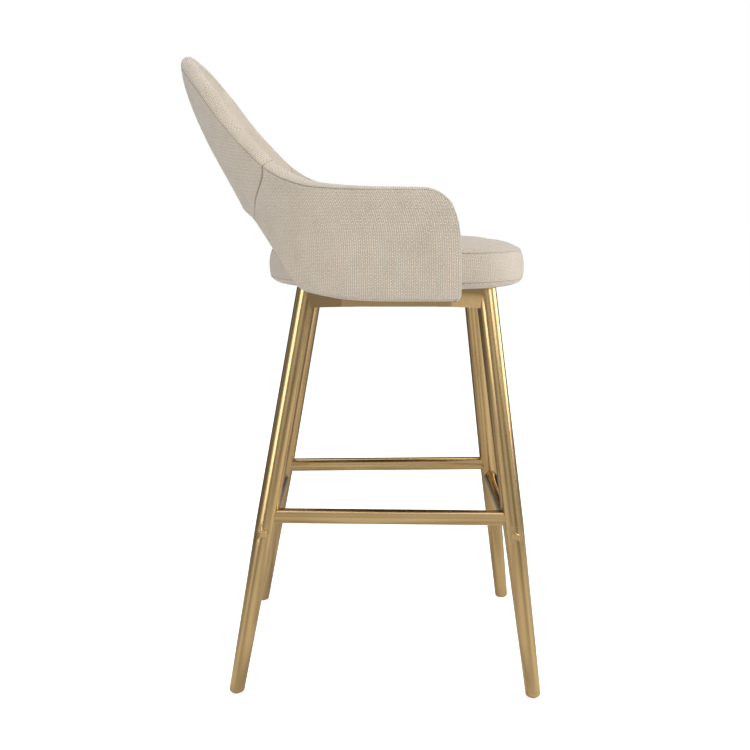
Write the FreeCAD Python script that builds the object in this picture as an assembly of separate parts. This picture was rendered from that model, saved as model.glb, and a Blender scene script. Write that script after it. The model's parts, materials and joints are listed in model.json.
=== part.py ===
import FreeCAD, Part
import math
import os

# Upholstered bar stool with footrest, in millimetres. +Z is up, the front faces -Y.
# Plan positions are first worked out about the middle of the seat, and the whole stool
# is moved along Y at the end so that the origin is under the centre of its box.

V = FreeCAD.Vector

# ---- overall sizes -------------------------------------------------------------------
SEAT_HEIGHT = 755.0          # crown of the cushion above the floor
CUSHION_THICKNESS = 76.0     # crown to flat underside
SEAT_WIDTH = 472.0
SEAT_DEPTH = 450.0
SEAT_REAR_SQUARENESS = 2.1     # power of the plan outline: 2 is an ellipse, more is squarer
FRONT_SQUARENESS = 2.8
ARM_HEIGHT = 158.5           # outer seam of the arm above the cushion's underside
BACK_HEIGHT = 367.0          # outer seam at the middle of the back, above the same face

# ---- legs ------------------------------------------------------------------------------
FRONT_FOOT = (240.0, -229.0)
REAR_FOOT = (222.0, 270.0)
FRONT_TOP = (142.0, -148.0)
REAR_TOP = (131.0, 149.0)
LEG_RADIUS = 17.4
FOOT_RADIUS = 12.5
FOOT_ROUNDING = 6.0
TUBE_WALL = 1.5
TAPER_TOP = 285.0            # the leg is straight above this height and tapers below it
FOOT_PLUG = 14.0             # solid end of the leg, which the glide is pressed into
GLIDE_RADIUS = 6.0
GLIDE_PROUD = 1.0
GLIDE_STEM_RADIUS = 3.0
GLIDE_STEM = 9.0
LEG_PLUG_DEPTH = 12.0

# ---- footrails -------------------------------------------------------------------------
RAIL_RADIUS = 12.7
SIDE_RAIL_HEIGHT = 296.5
CROSS_RAIL_HEIGHT = 270.4
INSERT_LENGTH = 22.0
BOLT_RADIUS = 4.0
BOLT_HEAD_RADIUS = 6.8
BOLT_HEAD_HEIGHT = 3.6
BOLT_HEAD_ROUNDING = 2.2
BOLT_REACH = 16.0            # how far the bolt's end goes into the rail past the leg

# ---- frame under the seat --------------------------------------------------------------
SEAT_RAIL_HEIGHT = 33.5
SEAT_RAIL_WIDTH = 20.0
SEAT_RAIL_FACE = 133.0       # outer face of the rail from the middle
SEAT_RAIL_BEND = 92.0        # where the corner brackets leave the rail
BRACKET_LAP = 22.0
BRACKET_PLATE = 3.0
CROSSBAR_WIDTH = 30.0
CROSSBAR_PLACE = 104.0
TAB_THICKNESS = 5.0
TAB_LENGTH = 38.0
TAB_RISE = 7.0                # tabs stand this far above the rail's lower face, to hide the bolt heads
SEAT_BOLT_RADIUS = 3.0
WASHER_RADIUS = 8.0
WASHER_THICKNESS = 1.6
TEE_NUT_RADIUS = 4.5
TEE_NUT_FLANGE = 10.0
TEE_NUT_FLANGE_THICKNESS = 1.5

# ---- seat ------------------------------------------------------------------------------
BOARD_THICKNESS = 15.0
BOARD_INSET = 29.0
DUST_COVER_THICKNESS = 1.0
COVER_THICKNESS = 1.5
LOWER_SEAM_RISE = 11.0        # lower seam of the band above the flat underside
UPPER_SEAM_RISE = 58.0
WIDEST_RISE = 33.0
UPPER_SEAM_INSET = 6.5
LOWER_SEAM_INSET = 3.0
UNDERSIDE_INSET = 20.0
UNDER_PANEL_WIDTH = 42.0
# dome of the top panel: share of the plan's size and share of the rise from seam to crown
CROWN_SHAPE = [(1.0, 0.0), (0.972, 0.35), (0.923, 0.62), (0.859, 0.79), (0.70, 0.92), (0.45, 0.97),
               (0.25, 0.99), (0.12, 0.998), (0.04, 1.0)]

# ---- shell that forms the back and the arms -----------------------------------------
SHELL_THICKNESS = 28.0
SHELL_TO_CUSHION = 2.0       # between the shell's inner face and the cushion
SHELL_REAR_SQUARENESS = 2.2   # power of the plan outline: 2 is an ellipse, more is squarer
OUTER_PAD = 4.4              # outer cover with its thin wadding
PLY_START = 5.0
PLY_THICKNESS = 10.0
INNER_COVER = 2.0
ARM_FRONT_ANGLE = 110.5      # from the middle of the back, round the seat's centre
ARM_CORNER = 30.0
ARM_LOWER_CORNER = 6.0
CORNER_REACH = 0.97
ARM_DROP = 12.0              # the arm's lower edge hangs below the cushion's underside
LEAN_START = 116.0           # height at which the back starts to lean
LEAN_BLEND = 18.0
LEAN_SLOPE = 0.601
LEAN_CURL = 2.363e-6
RIM_CROWN_BACK = 16.0        # how far the rounded rim stands past the outer seam
RIM_CROWN_ARM = 4.5
CROWN_FADE = 3                # how fast the crown flattens as the rim drops
LOWER_EDGE_CROWN = 4.0
SEAM_ANGLE_LOW = 28.0        # side seam: its angle at the lower edge and at the rim
SEAM_ANGLE_HIGH = 51.4
SEAM_BOW = 9.6
BACK_COLUMNS = 40             # stations across the back panels and the rim strip over them
SIDE_COLUMNS = 34             # stations along each side panel
PLY_COLUMNS = 100             # stations round the whole shell
WALL_ROWS = 12                # stations up every layer of the shell, close enough for the lean's bend

# share of the rise from the arm to the top of the back, against the angle round the seat
RIM_SHAPE = [(0, 1.0), (12, 0.985), (20.2, 0.938), (27, 0.862), (34, 0.735), (41, 0.508),
             (46, 0.345), (52, 0.160), (58, 0.074), (67, 0.020), (81, 0.003), (96, 0.0)]
# lower edge: angle round the seat, and height above the arm's lower edge as a share of
# the height of the arch under the middle of the back
ARCH_HEIGHT = 136.0
ARCH_SHAPE = [(0, 1.0), (14, 0.985), (25, 0.93), (33.5, 0.755), (43.2, 0.485), (50.3, 0.228),
              (53.5, 0.133), (56.5, 0.088), (61, 0.062), (73.7, 0.012), (90.6, 0.0), (100, 0.0)]

# ---- steel brackets and bolts that hold the shell ---------------------------------------
ARM_BRACKET_PLACES = [-60.0, 62.0]
ARM_BRACKET_WIDTH = 34.0
ARM_BRACKET_PLATE = 3.0
ARM_BRACKET_LAP = 39.0        # how far the bracket reaches in under the seat board
ARM_SCREW_SETBACK = 14.0      # from the bracket's inner end to its screws
SCREW_HEAD_HEIGHT = 2.4
SCREW_TIP_COVER = 3.0         # wood left over the point of a screw
BOLT_TIP_COVER = 2.0
ARM_BRACKET_RISE = 62.0
ARM_BOLT_RADIUS = 3.0
ARM_BOLT_SPACING = 18.0
POCKET_DEPTH = 6.0             # room behind the bracket's upright, out to the ply
ARM_BOLT_LEVELS = [28.0, 50.0]

# ---- clearances --------------------------------------------------------------------------
SOFT_GAP = 0.3
LAYER_GAP = 0.6              # between the layers of the shell
BAND_GAP = 0.8               # between the shell's edges and the strips that close them
HOLE_GAP = 0.3
SEAM_GAP = 0.3               # half of the gap between two panels at a seam

# ---- heights that follow from the sizes above ------------------------------------------
UNDERSIDE = SEAT_HEIGHT - CUSHION_THICKNESS
FRAME_TOP = UNDERSIDE - DUST_COVER_THICKNESS - SOFT_GAP
BOARD_LOW = UNDERSIDE
FRAME_LOW = FRAME_TOP - SEAT_RAIL_HEIGHT
TAB_LOW = FRAME_LOW + TAB_RISE
SHELL_HALF_WIDTH = SEAT_WIDTH / 2 + SHELL_TO_CUSHION + SHELL_THICKNESS
SHELL_REAR_DEPTH = SEAT_DEPTH / 2 + SHELL_TO_CUSHION + SHELL_THICKNESS
ARM_BRACKET_INNER = SEAT_WIDTH / 2 - BOARD_INSET - ARM_BRACKET_LAP
PLY_INNER = PLY_START + PLY_THICKNESS
INNER_FOAM_START = PLY_INNER + LAYER_GAP
INNER_FOAM_END = SHELL_THICKNESS - INNER_COVER - LAYER_GAP

parts = {}


# ---- small helpers --------------------------------------------------------------------
def cylinder(radius, start, end):
    """A round bar from one point to another."""
    way = end - start
    return Part.makeCylinder(radius, way.Length, start, way)


def block(low, high):
    """A box from its lowest corner to its highest corner."""
    size = V(*high) - V(*low)
    return Part.makeBox(size.x, size.y, size.z, V(*low))


def smooth_table(table, angle):
    """Monotone cubic reading of a table of (angle, value), flat past its ends."""
    angle = abs(angle)
    if angle >= table[-1][0]:
        return table[-1][1]
    slopes = [0.0] * len(table)
    for i in range(1, len(table) - 1):
        before = (table[i][1] - table[i - 1][1]) / (table[i][0] - table[i - 1][0])
        after = (table[i + 1][1] - table[i][1]) / (table[i + 1][0] - table[i][0])
        if before * after > 0:
            slopes[i] = 2 * before * after / (before + after)
    for i in range(len(table) - 1):
        x0, y0 = table[i]
        x1, y1 = table[i + 1]
        if angle <= x1:
            span = x1 - x0
            s = (angle - x0) / span
            rise = (y1 - y0) * s * s * (3 - 2 * s)
            bend = span * s * (1 - s) * (slopes[i] * (1 - s) - slopes[i + 1] * s)
            return y0 + rise + bend
    return table[-1][1]


def plan_radius(angle, half_width, rear, front, rear_power, front_power):
    """Distance from the seat's centre to a rounded plan outline, by angle from the back."""
    sine = abs(math.sin(math.radians(angle)))
    cosine = math.cos(math.radians(angle))
    power = rear_power if cosine >= 0 else front_power
    depth = rear if cosine >= 0 else front
    total = (sine / half_width) ** power + (abs(cosine) / depth) ** power
    return total ** (-1.0 / power)


# ---- seat outlines -----------------------------------------------------------------------
def seat_outline(height, inset, scale=1.0, points=48):
    """Closed curve of the cushion's plan at one height, inset from its widest line."""
    curve = Part.BSplineCurve()
    ring = []
    for i in range(points):
        angle = 360.0 * i / points
        radius = plan_radius(angle, SEAT_WIDTH / 2 - inset, SEAT_DEPTH / 2 - inset,
                             SEAT_DEPTH / 2 - inset, SEAT_REAR_SQUARENESS, FRONT_SQUARENESS) * scale
        ring.append(V(radius * math.sin(math.radians(angle)),
                      radius * math.cos(math.radians(angle)), height))
    curve.interpolate(Points=ring, PeriodicFlag=True)
    return Part.Wire(curve.toShape())


def seat_loft(levels):
    """Solid through seat outlines given as (height, inset, scale)."""
    wires = [seat_outline(height, inset, scale) for height, inset, scale in levels]
    return Part.makeLoft(wires, True, False)


def crown_levels(shrink, low_inset):
    """Levels of the domed top, from the upper seam to the crown, drawn in by shrink."""
    seam = UNDERSIDE + UPPER_SEAM_RISE
    rise = SEAT_HEIGHT - seam
    levels = []
    for scale, share in CROWN_SHAPE:
        levels.append((seam + rise * share - shrink, low_inset, scale))
    return levels


def band_levels(shrink):
    """Levels of the cushion's side, from the lower seam to the upper seam."""
    return [(UNDERSIDE + LOWER_SEAM_RISE, LOWER_SEAM_INSET + shrink, 1.0),
            (UNDERSIDE + WIDEST_RISE, shrink, 1.0),
            (UNDERSIDE + UPPER_SEAM_RISE, UPPER_SEAM_INSET + shrink, 1.0)]


def build_seat():
    board_top = BOARD_LOW + BOARD_THICKNESS
    board = seat_loft([(BOARD_LOW, BOARD_INSET, 1.0), (board_top, BOARD_INSET, 1.0)])
    cover = COVER_THICKNESS
    lower_seam = UNDERSIDE + LOWER_SEAM_RISE
    upper_seam = UNDERSIDE + UPPER_SEAM_RISE
    # foam: sides with a skirt round the board, then the dome over them
    room = seat_loft([(UNDERSIDE - 1, BOARD_INSET - SOFT_GAP, 1.0),
                      (board_top + SOFT_GAP, BOARD_INSET - SOFT_GAP, 1.0)])
    sides = seat_loft([(lower_seam + cover + SOFT_GAP, LOWER_SEAM_INSET + cover + SOFT_GAP, 1.0),
                       (UNDERSIDE + WIDEST_RISE, cover + SOFT_GAP, 1.0),
                       (upper_seam - cover, UPPER_SEAM_INSET + cover + SOFT_GAP, 1.0)])
    dome = seat_loft(crown_levels(cover + SOFT_GAP, UPPER_SEAM_INSET + cover + SOFT_GAP))
    parts["seat_foam"] = sides.fuse(dome).removeSplitter().cut(room)
    # top panel: a thin dome
    outer_dome = seat_loft(crown_levels(0.0, UPPER_SEAM_INSET))
    inner_dome = seat_loft(crown_levels(cover, UPPER_SEAM_INSET + cover))
    floor = block((-SEAT_WIDTH, -SEAT_DEPTH, upper_seam - 20), (SEAT_WIDTH, SEAT_DEPTH, upper_seam))
    parts["seat_top_panel"] = outer_dome.cut(inner_dome).cut(floor)
    # band round the side
    outer_band = seat_loft(band_levels(0.0))
    inner_band = seat_loft(band_levels(cover))
    trim = block((-SEAT_WIDTH, -SEAT_DEPTH, upper_seam - SOFT_GAP), (SEAT_WIDTH, SEAT_DEPTH, SEAT_HEIGHT))
    parts["seat_band"] = outer_band.cut(inner_band).cut(trim)
    # cover that turns under the board
    turn = UNDERSIDE - DUST_COVER_THICKNESS
    under = seat_loft([(turn, UNDERSIDE_INSET, 1.0), (lower_seam - SOFT_GAP, LOWER_SEAM_INSET, 1.0)])
    inside = seat_loft([(UNDERSIDE - SOFT_GAP / 3, UNDERSIDE_INSET + cover, 1.0),
                        (lower_seam + DUST_COVER_THICKNESS, LOWER_SEAM_INSET + cover, 1.0)])
    hollow = seat_loft([(turn - 1, UNDER_PANEL_WIDTH, 1.0), (UNDERSIDE, UNDER_PANEL_WIDTH, 1.0)])
    parts["seat_under_panel"] = under.cut(inside).cut(hollow)
    # black cloth stapled under the board, inside the cover
    dust = seat_loft([(UNDERSIDE - DUST_COVER_THICKNESS, UNDER_PANEL_WIDTH + SOFT_GAP, 1.0),
                      (UNDERSIDE - SOFT_GAP / 3, UNDER_PANEL_WIDTH + SOFT_GAP, 1.0)])
    parts["dust_cover"] = dust
    parts["seat_board"] = board


# ---- legs ------------------------------------------------------------------------------
def leg_axis(foot, top, side):
    start = V(side * foot[0], foot[1], 0)
    end = V(side * top[0], top[1], FRAME_TOP)
    return start, end


def leg_point(foot, top, side, height):
    start, end = leg_axis(foot, top, side)
    return start + (end - start) * (height / FRAME_TOP)


def leg_blank(foot, top, side, shrink):
    """Round bar that tapers below TAPER_TOP, cut level at the foot and at the top."""
    start, end = leg_axis(foot, top, side)
    way = end - start
    knee = start + way * (TAPER_TOP / FRAME_TOP)
    taper = (LEG_RADIUS - FOOT_RADIUS) / TAPER_TOP
    margin = 30.0
    below = start - way * (margin / FRAME_TOP)
    above = end + way * (margin / FRAME_TOP)
    low_radius = FOOT_RADIUS - taper * margin - shrink
    cone = Part.makeCone(low_radius, LEG_RADIUS - shrink, (knee - below).Length, below, way)
    tube = Part.makeCylinder(LEG_RADIUS - shrink, (above - knee).Length, knee, way)
    bar = cone.fuse(tube)
    reach = 400.0
    slab = block((-reach, -reach, GLIDE_PROUD), (reach, reach, FRAME_TOP))
    return bar.common(slab)


def rounded_foot(bar):
    """Round the bottom edge of a leg."""
    edges = [e for e in bar.Edges if e.BoundBox.ZMax < GLIDE_PROUD + 0.01]
    return bar.makeFillet(FOOT_ROUNDING, edges)


def build_legs():
    outers = {}
    for name, foot, top in [("front", FRONT_FOOT, FRONT_TOP), ("rear", REAR_FOOT, REAR_TOP)]:
        for side_name, side in [("left", 1), ("right", -1)]:
            key = name + "_leg_" + side_name
            outer = rounded_foot(leg_blank(foot, top, side, 0.0))
            outers[key] = outer
            bore = leg_blank(foot, top, side, TUBE_WALL)
            reach = 400.0
            bore = bore.common(block((-reach, -reach, FOOT_PLUG), (reach, reach, FRAME_TOP + 1)))
            leg = outer.cut(bore)
            base = leg_point(foot, top, side, 0.0)
            stem_top = V(base.x, base.y, GLIDE_STEM)
            leg = leg.cut(cylinder(GLIDE_STEM_RADIUS, V(base.x, base.y, 0), stem_top))
            # hole for the bolt that holds the cross footrail
            at = leg_point(foot, top, side, CROSS_RAIL_HEIGHT)
            across = V(2 * LEG_RADIUS, 0, 0)
            leg = leg.cut(cylinder(BOLT_RADIUS + HOLE_GAP, at - across, at + across))
            parts[key] = leg
            pad = cylinder(GLIDE_RADIUS, V(base.x, base.y, 0), V(base.x, base.y, GLIDE_PROUD))
            stem = cylinder(GLIDE_STEM_RADIUS, V(base.x, base.y, 0), stem_top)
            parts[name + "_glide_" + side_name] = pad.fuse(stem).removeSplitter()
            plug = leg_blank(foot, top, side, TUBE_WALL)
            low = FRAME_TOP - LEG_PLUG_DEPTH
            plug = plug.common(block((-reach, -reach, low), (reach, reach, FRAME_TOP)))
            parts.setdefault("leg_top_plugs", []).append(plug)
    return outers


# ---- footrails ---------------------------------------------------------------------------
def hollow_bar(start, end, radius):
    return cylinder(radius, start, end).cut(cylinder(radius - TUBE_WALL, start, end))


def build_footrails(outers):
    for side_name, side in [("left", 1), ("right", -1)]:
        start = leg_point(FRONT_FOOT, FRONT_TOP, side, SIDE_RAIL_HEIGHT)
        end = leg_point(REAR_FOOT, REAR_TOP, side, SIDE_RAIL_HEIGHT)
        rail = hollow_bar(start, end, RAIL_RADIUS)
        rail = rail.cut(outers["front_leg_" + side_name]).cut(outers["rear_leg_" + side_name])
        parts["side_footrail_" + side_name] = rail
    inserts = []
    bolts = []
    for name, foot, top in [("front", FRONT_FOOT, FRONT_TOP), ("rear", REAR_FOOT, REAR_TOP)]:
        left = leg_point(foot, top, 1, CROSS_RAIL_HEIGHT)
        right = leg_point(foot, top, -1, CROSS_RAIL_HEIGHT)
        legs = [outers[name + "_leg_left"], outers[name + "_leg_right"]]
        rail = hollow_bar(left, right, RAIL_RADIUS)
        for leg in legs:
            rail = rail.cut(leg)
        parts[name + "_footrail"] = rail
        for centre, side, leg in [(left, 1, legs[0]), (right, -1, legs[1])]:
            inward = V(-side, 0, 0)
            plug_end = centre + inward * (LEG_RADIUS + INSERT_LENGTH)
            bolt_end = centre + inward * (LEG_RADIUS + BOLT_REACH)
            plug = cylinder(RAIL_RADIUS - TUBE_WALL, centre, plug_end).cut(leg)
            plug = plug.cut(cylinder(BOLT_RADIUS, centre, bolt_end))
            inserts.append(plug)
            face = centre - inward * LEG_RADIUS
            head = cylinder(BOLT_HEAD_RADIUS, face + inward * BOLT_RADIUS, face - inward * BOLT_HEAD_HEIGHT)
            rim = [e for e in head.Edges if abs(e.BoundBox.XMax - e.BoundBox.XMin) < 0.01
                   and abs(abs(e.BoundBox.XMin) - abs(face.x) - BOLT_HEAD_HEIGHT) < 0.1]
            head = head.makeFillet(BOLT_HEAD_ROUNDING, rim).cut(leg)
            shank = cylinder(BOLT_RADIUS, face - inward * 1.0, bolt_end)
            bolts.append(head.fuse(shank).removeSplitter())
    parts["footrail_inserts"] = inserts
    parts["footrail_bolts"] = bolts


# ---- frame under the seat ----------------------------------------------------------------
def corner_bracket(foot, top, side, leg):
    """Bent plate from the seat rail's outer face round to the outside of a leg."""
    centre = leg_point(foot, top, 1, FRAME_TOP - SEAT_RAIL_HEIGHT / 2)
    toward = 1 if centre.y > 0 else -1
    bend = V(SEAT_RAIL_FACE + BRACKET_PLATE, toward * SEAT_RAIL_BEND, 0)
    reach_x = centre.x - bend.x
    reach_y = abs(centre.y - bend.y)
    distance = math.hypot(reach_x, reach_y)
    heading = math.atan2(reach_x, reach_y) + math.asin(LEG_RADIUS / distance)
    length = math.sqrt(distance * distance - LEG_RADIUS * LEG_RADIUS)
    tip_x = bend.x + length * math.sin(heading)
    tip_y = toward * (abs(bend.y) + length * math.cos(heading))
    back_x = BRACKET_PLATE * math.cos(heading)
    back_y = toward * BRACKET_PLATE * math.sin(heading)
    start_y = toward * (SEAT_RAIL_BEND - BRACKET_LAP)
    corners = [(SEAT_RAIL_FACE, start_y), (bend.x, start_y), (bend.x, bend.y), (tip_x, tip_y),
               (tip_x - back_x, tip_y + back_y), (SEAT_RAIL_FACE, bend.y)]
    outline = [V(side * x, y, FRAME_LOW) for x, y in corners]
    plate = Part.Face(Part.makePolygon(outline + [outline[0]])).extrude(V(0, 0, SEAT_RAIL_HEIGHT))
    return plate.cut(leg)


def build_seat_frame(outers):
    washers = []
    bolts = []
    nuts = []
    tabs = []
    board_top = BOARD_LOW + BOARD_THICKNESS
    inner_face = SEAT_RAIL_FACE - SEAT_RAIL_WIDTH
    bolt_x = inner_face - TAB_LENGTH / 2
    holes = []
    for side_name, side in [("left", 1), ("right", -1)]:
        for toward in [-1, 1]:
            spot = V(side * bolt_x, toward * CROSSBAR_PLACE, TAB_LOW)
            above_board = V(spot.x, spot.y, board_top + 10)
            drill = cylinder(SEAT_BOLT_RADIUS + HOLE_GAP, spot - V(0, 0, 20), above_board)
            holes.append(drill)
            washer_low = spot - V(0, 0, WASHER_THICKNESS)
            washers.append(cylinder(WASHER_RADIUS, washer_low, spot).cut(drill))
            head_low = washer_low - V(0, 0, BOLT_HEAD_HEIGHT)
            head = cylinder(BOLT_HEAD_RADIUS, head_low, washer_low)
            end = V(spot.x, spot.y, board_top - 2)
            bolts.append(head.fuse(cylinder(SEAT_BOLT_RADIUS, washer_low, end)).removeSplitter())
            flange_low = V(spot.x, spot.y, board_top - TEE_NUT_FLANGE_THICKNESS)
            flange = cylinder(TEE_NUT_FLANGE, flange_low, V(spot.x, spot.y, board_top))
            barrel = cylinder(TEE_NUT_RADIUS, V(spot.x, spot.y, board_top - 11), flange_low)
            nut = flange.fuse(barrel).removeSplitter()
            nuts.append(nut.cut(cylinder(SEAT_BOLT_RADIUS, spot, V(spot.x, spot.y, board_top + 1))))
            parts["seat_board"] = parts["seat_board"].cut(flange.fuse(barrel)).cut(drill)
            low = (inner_face - TAB_LENGTH, toward * CROSSBAR_PLACE - CROSSBAR_WIDTH / 2, TAB_LOW)
            high = (inner_face, toward * CROSSBAR_PLACE + CROSSBAR_WIDTH / 2, TAB_LOW + TAB_THICKNESS)
            tab = block((min(side * low[0], side * high[0]), low[1], low[2]),
                        (max(side * low[0], side * high[0]), high[1], high[2]))
            tabs.append(tab.cut(drill))
        # side rail: rectangular tube, notched where it meets the legs
        end_y = abs(FRONT_TOP[1]) - 1.0
        x_low = min(side * inner_face, side * SEAT_RAIL_FACE)
        x_high = max(side * inner_face, side * SEAT_RAIL_FACE)
        rail = block((x_low, -end_y, FRAME_LOW), (x_high, end_y, FRAME_TOP))
        rail = rail.cut(block((x_low + TUBE_WALL, -end_y, FRAME_LOW + TUBE_WALL),
                              (x_high - TUBE_WALL, end_y, FRAME_TOP - TUBE_WALL)))
        rail = rail.cut(outers["front_leg_" + side_name]).cut(outers["rear_leg_" + side_name])
        parts["seat_rail_" + side_name] = max(rail.Solids, key=lambda s: s.Volume)
        for name, foot, top in [("front", FRONT_FOOT, FRONT_TOP), ("rear", REAR_FOOT, REAR_TOP)]:
            leg = outers[name + "_leg_" + side_name]
            parts[name + "_bracket_" + side_name] = corner_bracket(foot, top, side, leg)
    drill_all = Part.makeCompound(holes)
    bar_top = FRAME_TOP
    bar_low = TAB_LOW + TAB_THICKNESS
    for name, toward in [("front", -1), ("rear", 1)]:
        y_low = toward * CROSSBAR_PLACE - CROSSBAR_WIDTH / 2
        y_high = toward * CROSSBAR_PLACE + CROSSBAR_WIDTH / 2
        gap = HOLE_GAP
        bar = block((-inner_face + gap, y_low, bar_low), (inner_face - gap, y_high, bar_top))
        bar = bar.cut(block((-inner_face, y_low + TUBE_WALL, bar_low + TUBE_WALL),
                            (inner_face, y_high - TUBE_WALL, bar_top - TUBE_WALL)))
        parts[name + "_crossbar"] = bar.cut(drill_all)
    parts["dust_cover"] = parts["dust_cover"].cut(drill_all)
    parts["crossbar_tabs"] = tabs
    parts["seat_bolts"] = bolts
    parts["seat_bolt_washers"] = washers
    parts["tee_nuts"] = nuts


# ---- shell geometry ----------------------------------------------------------------------
def lean(height):
    """How far the back has leaned to the rear at a height above the cushion's underside."""
    past = height - LEAN_START
    softened = LEAN_BLEND * math.log1p(math.exp(min(past / LEAN_BLEND, 40.0)))
    softened = past if past / LEAN_BLEND > 40.0 else softened
    return LEAN_SLOPE * softened - LEAN_CURL * softened ** 3


def shell_point(angle, height):
    """Point of the shell's outer face, by angle round the seat and height over the underside."""
    radius = plan_radius(angle, SHELL_HALF_WIDTH, SHELL_REAR_DEPTH, SHELL_REAR_DEPTH,
                         SHELL_REAR_SQUARENESS, FRONT_SQUARENESS)
    x = radius * math.sin(math.radians(angle))
    y = radius * math.cos(math.radians(angle)) + lean(height)
    return V(x, y, UNDERSIDE + height)


def shell_normal(angle, height):
    """Unit vector out of the shell's outer face."""
    step = 0.05
    along = shell_point(angle + step, height) - shell_point(angle - step, height)
    up = shell_point(angle, height + step) - shell_point(angle, height - step)
    normal = up.cross(along)
    normal.normalize()
    return normal


def corner_drop(angle, radius):
    """Rounding of the arm's front corners, zero away from the arm's front."""
    arc = math.radians(1.0) * shell_point(ARM_FRONT_ANGLE, 0).sub(V(0, 0, UNDERSIDE)).Length
    past = abs(angle) - (ARM_FRONT_ANGLE - radius * CORNER_REACH / arc)
    if past <= 0:
        return 0.0
    along = min(past * arc, radius * CORNER_REACH)
    return radius - math.sqrt(radius * radius - along * along)


def rim_height(angle):
    rise = BACK_HEIGHT - ARM_HEIGHT
    return ARM_HEIGHT + rise * smooth_table(RIM_SHAPE, angle) - corner_drop(angle, ARM_CORNER)


def lower_height(angle):
    arch = ARCH_HEIGHT * smooth_table(ARCH_SHAPE, angle)
    return arch - ARM_DROP + corner_drop(angle, ARM_LOWER_CORNER)


def seam_angle(share):
    """Angle of the side seam at a share of the way from the lower edge to the rim."""
    straight = SEAM_ANGLE_HIGH - SEAM_ANGLE_LOW + SEAM_BOW
    return SEAM_ANGLE_LOW + straight * share - SEAM_BOW * share * share


def surface_through(grid):
    surface = Part.BSplineSurface()
    surface.interpolate(grid)
    return surface


def closed_solid(faces):
    """Sew faces that share their borders into one solid that is the right way out."""
    shell = Part.makeShell(faces)
    shell.sewShape()
    solid = Part.Solid(shell)
    solid.fix(1e-5, 1e-5, 1e-3)
    outside = V(0, 0, -1000)
    if solid.isInside(outside, 1e-3, True):
        solid.reverse()
    return solid


def solid_between(outer_grid, inner_grid):
    """Closed solid between two grids of points that match one to one."""
    faces = []
    borders = []
    for grid in (outer_grid, inner_grid):
        surface = surface_through(grid)
        face = surface.toShape()
        faces.append(face)
        u0, u1, v0, v1 = surface.bounds()
        borders.append([surface.uIso(u0), surface.uIso(u1), surface.vIso(v0), surface.vIso(v1)])
    for outer_curve, inner_curve in zip(borders[0], borders[1]):
        faces.append(Part.makeRuledSurface(outer_curve.toShape(), inner_curve.toShape()))
    return closed_solid(faces)


def even(share):
    return share


def close_at_end(share):
    """Spacing that is finer towards the end, where the arm's corners are rounded."""
    return math.sin(math.pi * share / 2)


def close_at_both(share):
    return (1 - math.cos(math.pi * share)) / 2


def wall_piece(first, last, outer_depth, inner_depth, columns, spacing, trim=0.0):
    """Piece of the wrapped shell between two side lines, and between two depths."""
    outer_grid = []
    inner_grid = []
    for i in range(columns + 1):
        outer_row = []
        inner_row = []
        for j in range(WALL_ROWS + 1):
            share = j / WALL_ROWS
            start = first(share)
            end = last(share)
            angle = start + (end - start) * spacing(i / columns)
            low = lower_height(angle) + trim
            high = rim_height(angle) - trim
            height = low + (high - low) * share
            point = shell_point(angle, height)
            normal = shell_normal(angle, height)
            outer_row.append(point - normal * outer_depth)
            inner_row.append(point - normal * inner_depth)
        outer_grid.append(outer_row)
        inner_grid.append(inner_row)
    return solid_between(outer_grid, inner_grid)


def edge_band(path, crown):
    """Rounded strip along an edge of the shell: path gives (angle, height) points in order,
    crown gives how far the strip stands out at each point."""
    grid = []
    for i, (angle, height) in enumerate(path):
        before = path[max(i - 1, 0)]
        after = path[min(i + 1, len(path) - 1)]
        along = shell_point(*after) - shell_point(*before)
        normal = shell_normal(angle, height)
        outward = along.cross(normal)
        outward.normalize()
        outer = shell_point(angle, height)
        middle = outer - normal * (SHELL_THICKNESS / 2)
        row = []
        for j in range(9):
            turn = math.pi * j / 8
            row.append(middle + normal * (SHELL_THICKNESS / 2 * math.cos(turn))
                       + outward * (crown(angle) * math.sin(turn) + BAND_GAP))
        grid.append(row)
    surface = surface_through(grid)
    u0, u1, v0, v1 = surface.bounds()
    starts = surface.vIso(v0).toShape()
    ends = surface.vIso(v1).toShape()
    faces = [surface.toShape(), Part.makeRuledSurface(starts, ends)]
    for u in (u0, u1):
        arc = surface.uIso(u).toShape()
        points = [v.Point for v in arc.Vertexes]
        chord = Part.LineSegment(points[0], points[-1]).toShape()
        faces.append(Part.makeRuledSurface(arc, chord))
    return closed_solid(faces)


def crown_of_rim(angle):
    """The rim stands proudest at the middle of the back and is nearly flat on the arms."""
    share = smooth_table(RIM_SHAPE, angle) ** CROWN_FADE
    return RIM_CROWN_ARM + (RIM_CROWN_BACK - RIM_CROWN_ARM) * share


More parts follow.
